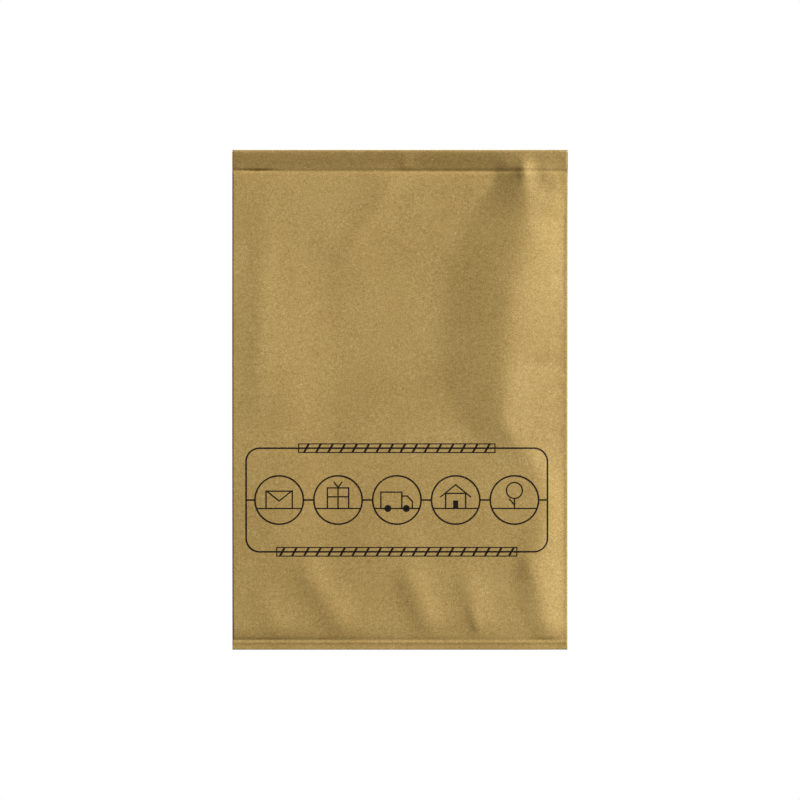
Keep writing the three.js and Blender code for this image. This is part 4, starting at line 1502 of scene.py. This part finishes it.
def pulp_group() -> bpy.types.NodeTree:
    """Group that mottles a paper colour with clouds, fibres and flecks.

    Its inputs are the place in millimetres, the paper's colour, a light and a dark colour for
    fibres and flecks, and the depth of the mottling. Its outputs are the colour and a height.

    Returns:
        The group.
    """
    takes = {"Vector": VECTOR, "Paper": COLOUR, "Light": COLOUR, "Dark": COLOUR, "Depth": NUMBER}
    graph, start, end = new_group("Pulp", takes, {"Color": COLOUR, "Height": NUMBER})
    place = start.outputs["Vector"]
    cloud = graph.noise(place, 0.03, 3.0)
    mottle = graph.noise(place, 0.7, 5.0, 0.68)
    grain = graph.noise(place, 1.9, 3.0, 0.6)
    centred = [
        (graph.math("SUBTRACT", noise, 0.5), weight)
        for noise, weight in ((cloud, 0.3), (mottle, 0.6), (grain, 1.2))
    ]
    shade = graph.math("MULTIPLY", graph.total(centred), start.outputs["Depth"])

    # Fibres: noise drawn out along three directions, as turn, scale, and the limits that it passes
    fibres = (
        (0.45, (7.0, 0.55, 1.0), 0.62, 0.74),
        (-0.9, (6.0, 0.5, 1.0), 0.63, 0.75),
        (1.9, (8.0, 0.6, 1.0), 0.64, 0.76),
    )
    light_hair, dark_hair, pale_hair = (
        graph.span(graph.noise(graph.stretch(place, scale, turn), 1.0, 2.0), low, high)
        for turn, scale, low, high in fibres
    )

    # Flecks: dots in a few cells of a Voronoi pattern, dark or light by the cell's own numbers
    cells = graph.node("ShaderNodeTexVoronoi", {"Vector": place, "Scale": 0.42})
    dot = graph.span(cells.outputs["Distance"], 0.11, 0.2, (1.0, 0.0))
    pick = graph.node("ShaderNodeSeparateColor", {0: cells.outputs["Color"]})
    dark_dot, light_dot = (
        graph.math("MULTIPLY", dot, graph.math("GREATER_THAN", pick.outputs[k], 0.965))
        for k in (0, 1)
    )

    colour = start.outputs["Paper"]
    layers = (
        (shade, 1.0, "Light"), (shade, -1.0, "Dark"), (light_hair, 0.2, "Light"),
        (dark_hair, 0.16, "Dark"), (pale_hair, 0.16, "Light"), (dark_dot, 0.55, "Dark"),
        (light_dot, 0.8, "Light"),
    )
    for mask, share, tone in layers:
        colour = graph.blend(graph.math("MULTIPLY", mask, share), colour, start.outputs[tone])
    height = graph.total(((mottle, 0.5), (grain, 0.3), (light_hair, 0.25)))
    graph.fill(end, {"Color": colour, "Height": height})
    return graph.tree


class Groups:
    """The shader node groups that the finishes share, made on first use."""

    MAKERS = {"Millimetres": millimetres_group, "Pulp": pulp_group}

    @classmethod
    def add(
        cls, graph: Graph, name: str, inputs: dict[str | int, object] | None = None
    ) -> bpy.types.Node:
        """Group node in a graph.

        Args:
            graph: the graph that it is placed in.
            name: name of the group.
            inputs: as for Graph.fill.

        Returns:
            The node.
        """
        tree = bpy.data.node_groups.get(name) or cls.MAKERS[name]()
        made = graph.node("ShaderNodeGroup", node_tree=tree)
        return graph.fill(made, inputs or {})


def new_material(name: str) -> tuple[bpy.types.Material, Graph, bpy.types.Node]:
    """Material with a Principled shader.

    Args:
        name: name of the material.

    Returns:
        The material, its graph and the shader.
    """
    material = bpy.data.materials.new(name)
    material.use_nodes = True
    nodes = material.node_tree.nodes
    return material, Graph(material.node_tree), nodes["Principled BSDF"]


@dataclass(frozen=True)
class PaperFinish:
    """Paper with its pulp showing.

    Attributes:
        name: name of the material.
        paper: its colour.
        light: colour of pale fibres and flecks.
        dark: colour of dark ones.
        depth: depth of the mottling.
        roughness: roughness of the surface.
        specular: strength of its sheen.
        relief: depth of the fibres in millimetres.
    """

    name: str
    paper: Colour
    light: Colour
    dark: Colour
    depth: float
    roughness: float
    specular: float
    relief: float

    def build(self) -> bpy.types.Material:
        """Makes the material.

        Returns:
            The material.
        """
        material, graph, shader = new_material(self.name)
        place = Groups.add(graph, "Millimetres").outputs["Vector"]
        tones = {"Paper": self.paper, "Light": self.light, "Dark": self.dark}
        inputs = {key: (*colour, 1.0) for key, colour in tones.items()}
        pulp = Groups.add(graph, "Pulp", {"Vector": place, "Depth": self.depth, **inputs})
        looks = {
            "Base Color": pulp.outputs["Color"],
            "Normal": graph.bump(pulp.outputs["Height"], self.relief),
            "Roughness": self.roughness,
            "Specular IOR Level": self.specular,
        }
        graph.fill(shader, looks)
        return material


@dataclass(frozen=True)
class InkFinish:
    """Printing ink that thins out a little over the paper's fibres.

    Attributes:
        name: name of the material.
        ink: its colour.
        thin: its colour where it is thin.
        roughness: roughness of the surface.
        specular: strength of its sheen.
        cover: scale, detail and roughness of the noise that says where it is thin.
        thins: the values of that noise between which it gets thin.
    """

    name: str
    ink: Colour
    thin: Colour
    roughness: float
    specular: float = 0.15
    cover: Triple = (2.6, 4.0, 0.65)
    thins: Pair = (0.52, 0.78)

    def build(self) -> bpy.types.Material:
        """Makes the material.

        Returns:
            The material.
        """
        material, graph, shader = new_material(self.name)
        place = Groups.add(graph, "Millimetres").outputs["Vector"]
        share = graph.span(graph.noise(place, *self.cover), *self.thins)
        looks = {
            "Base Color": graph.blend(share, (*self.ink, 1.0), (*self.thin, 1.0)),
            "Roughness": self.roughness,
            "Specular IOR Level": self.specular,
        }
        graph.fill(shader, looks)
        return material


@dataclass(frozen=True)
class FilmFinish:
    """Clear plastic with a wrinkled or rippled face.

    Attributes:
        name: name of the material.
        tint: its colour.
        shade: its colour in the thicker places.
        roughness: roughness of the surface.
        clear: share of the light that passes through.
        ripple: how many ripples there are to a millimetre.
        relief: their depth in millimetres.
        detail: detail and roughness of the ripples.
        thick: the heights of a ripple between which the film gets thicker.
    """

    name: str
    tint: Colour
    shade: Colour
    roughness: float
    clear: float
    ripple: float
    relief: float
    detail: Pair = (3.0, 0.55)
    thick: Pair = (0.35, 0.7)

    def build(self) -> bpy.types.Material:
        """Makes the material.

        Returns:
            The material.
        """
        material, graph, shader = new_material(self.name)
        place = Groups.add(graph, "Millimetres").outputs["Vector"]
        waves = graph.noise(place, self.ripple, *self.detail)
        share = graph.span(waves, *self.thick)
        looks = {
            "Base Color": graph.blend(share, (*self.tint, 1.0), (*self.shade, 1.0)),
            "Normal": graph.bump(waves, self.relief),
            "Roughness": self.roughness,
            "Transmission Weight": self.clear,
        }
        graph.fill(shader, looks)
        return material


KRAFT = PaperFinish(
    name="kraft_paper",
    paper=(0.47, 0.31, 0.09),
    light=(0.70, 0.52, 0.22),
    dark=(0.25, 0.15, 0.035),
    depth=2.3,
    roughness=0.62,
    specular=0.4,
    relief=0.035,
)
LINER = PaperFinish(
    name="release_paper",
    paper=(0.78, 0.77, 0.73),
    light=(0.86, 0.86, 0.83),
    dark=(0.62, 0.60, 0.54),
    depth=0.35,
    roughness=0.36,
    specular=0.5,
    relief=0.01,
)
INK = InkFinish(
    name="printing_ink", ink=(0.012, 0.007, 0.005), thin=(0.05, 0.028, 0.015), roughness=0.65
)
FILM = FilmFinish(
    name="bubble_film",
    tint=(0.72, 0.75, 0.77),
    shade=(0.60, 0.65, 0.69),
    roughness=0.22,
    clear=0.45,
    ripple=0.4,
    relief=0.06,
)
ADHESIVE = FilmFinish(
    name="adhesive_band",
    tint=(0.72, 0.66, 0.5),
    shade=(0.62, 0.56, 0.4),
    roughness=0.3,
    clear=0.1,
    ripple=0.9,
    relief=0.05,
)


# Studio


@dataclass(frozen=True)
class SoftLight:
    """A rectangular area light that faces the envelope.

    Attributes:
        name: name of the light.
        towards: direction from the envelope to the light.
        distance: distance in metres.
        size: width and height in metres.
        power: power in watts.
        colour: its colour.
    """

    name: str
    towards: Triple
    distance: float
    size: Pair
    power: float
    colour: Colour

    def build(self) -> None:
        """Makes the light."""
        data = bpy.data.lights.new(self.name, "AREA")
        data.shape = "RECTANGLE"
        data.size, data.size_y = self.size
        data.energy = self.power
        data.color = self.colour
        light = bpy.data.objects.new(self.name, data)
        way = Vector(self.towards).normalized()
        light.location = way * self.distance
        light.rotation_euler = way.to_track_quat("Z", "Y").to_euler()
        bpy.context.scene.collection.objects.link(light)


KEY = SoftLight("key", (0.78, 0.50, 0.37), 6.4, (2.2, 2.0), 645.0, (0.99, 1.0, 1.02))
SHEEN = SoftLight("sheen", (0.52, 0.08, 0.85), 3.0, (0.7, 0.7), 14.0, (0.97, 1.0, 1.02))
OVERHEAD = SoftLight("overhead", (-0.15, 0.1, 1.0), 1.6, (1.2, 1.2), 1.2, (1.0, 0.86, 0.7))


@dataclass(frozen=True)
class Studio:
    """Camera straight above, white floor and soft lights.

    Attributes:
        lens: focal length in millimetres.
        sensor: sensor width in millimetres.
        seen: width of the picture at the height of the front panel, in metres.
        height: height of that panel in metres.
        far: distance in metres up to which the camera sees.
        ambient: strength of the even light from all round.
        surround: its colour.
        floor_side: side of the floor in millimetres.
        floor_drop: how far it lies below the envelope, in millimetres.
        floor_grey: how light it is.
        lights: the lights.
    """

    lens: float = 300.0
    sensor: float = 36.0
    seen: float = 0.3648
    height: float = 0.009
    far: float = 50.0
    ambient: float = 0.085
    surround: Colour = (1.0, 0.88, 0.74)
    floor_side: float = 6000.0
    floor_drop: float = 0.05
    floor_grey: float = 0.8
    lights: tuple[SoftLight, ...] = (KEY, SHEEN, OVERHEAD)

    def build(self) -> None:
        """Makes the camera, floor, lights and surround."""
        scene = bpy.context.scene
        data = bpy.data.cameras.new("camera")
        data.lens = self.lens
        data.sensor_width = self.sensor
        data.clip_end = self.far
        camera = bpy.data.objects.new("camera", data)
        camera.location = (0.0, 0.0, self.height + self.seen * self.lens / self.sensor)
        scene.collection.objects.link(camera)
        scene.camera = camera
        for light in self.lights:
            light.build()
        self.build_floor()
        self.build_surround()
        scene.view_settings.view_transform = "Standard"

    def whiten(self, tree: bpy.types.NodeTree, shade: Socket, output: bpy.types.Node) -> None:
        """Gives white to what the camera sees directly, and a shader to all other rays.

        Args:
            tree: the node tree.
            shade: the output of that shader.
            output: the tree's output node.
        """
        graph = Graph(tree)
        seen = graph.node("ShaderNodeLightPath").outputs["Is Camera Ray"]
        white = graph.node("ShaderNodeEmission").outputs[0]
        mix = graph.node("ShaderNodeMixShader", {0: seen, 1: shade, 2: white})
        graph.fill(output, {"Surface": mix.outputs[0]})

    def build_floor(self) -> None:
        """Makes the white floor."""
        corners = np.array([(-1, -1, 0), (1, -1, 0), (1, 1, 0), (-1, 1, 0)]) * self.floor_side / 2
        corners = corners - (0.0, 0.0, self.floor_drop)
        floor = mesh_object("floor", corners, [np.array([[0, 1, 2, 3]])], smooth_faces=False)
        material, graph, shader = new_material("floor_white")
        grey = (self.floor_grey, self.floor_grey, self.floor_grey, 1.0)
        graph.fill(shader, {"Base Color": grey, "Roughness": 0.9})
        self.whiten(graph.tree, shader.outputs[0], graph.tree.nodes["Material Output"])
        floor.data.materials.append(material)

    def build_surround(self) -> None:
        """Makes the even light from all round, white to the camera."""
        world = bpy.data.worlds.new("surround")
        world.use_nodes = True
        tree = world.node_tree
        shade = tree.nodes["Background"]
        colour = (*self.surround, 1.0)
        Graph(tree).fill(shade, {"Color": colour, "Strength": self.ambient})
        self.whiten(tree, shade.outputs[0], tree.nodes["World Output"])
        bpy.context.scene.world = world


# The envelope


@dataclass(frozen=True)
class PaddedEnvelope:
    """All pieces of the envelope, each dressed and bound to the CAD frame."""

    form: EnvelopeForm = EnvelopeForm()

    def strips(self) -> tuple[FlapStrip, FlapStrip]:
        """The adhesive band on the flap and the liner over it.

        Returns:
            Both strips.
        """
        band = FlapStrip(
            "adhesive_band", self.form, from_end=8.0, width=16.0, end_gap=5.0, low=0.21,
            thickness=0.14, corner=1.2, waviness=0.006,
        )
        liner = FlapStrip(
            "release_paper", self.form, from_end=5.5, width=21.0, end_gap=3.0, low=0.36,
            thickness=0.09, corner=0.8, waviness=0.003,
        )
        return band, liner

    def dress(
        self, piece: bpy.types.Object, material: bpy.types.Material, node: str
    ) -> None:
        """Gives a piece its material, binds it to the root body and hides the CAD node that it
        replaces.

        Args:
            piece: the piece.
            material: its material.
            node: the CAD node that it replaces.
        """
        piece.data.materials.append(material)
        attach(piece, "root")
        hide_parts(node)
        LOG.info("%s: %d faces", piece.name, len(piece.data.polygons))

    def build(self) -> None:
        """Makes every piece."""
        skin = PaperSkin(self.form).build()
        self.dress(skin, KRAFT.build(), "paper_envelope")
        print_piece = PrintedFront(self.form).build()
        self.dress(print_piece, INK.build(), "front_print")
        lining = BubbleLining(self.form).build()
        self.dress(lining, FILM.build(), "bubble_lining")
        band, liner = self.strips()
        self.dress(band.build(), ADHESIVE.build(), "adhesive_strip")
        self.dress(liner.build(), LINER.build(), "release_liner")


def main() -> None:
    """Builds the envelope in the CAD frame, and the studio round it."""
    logging.basicConfig(level=logging.INFO, format="%(name)s %(message)s")
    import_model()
    PaddedEnvelope().build()
    Studio().build()


if __name__ == "__main__":
    main()
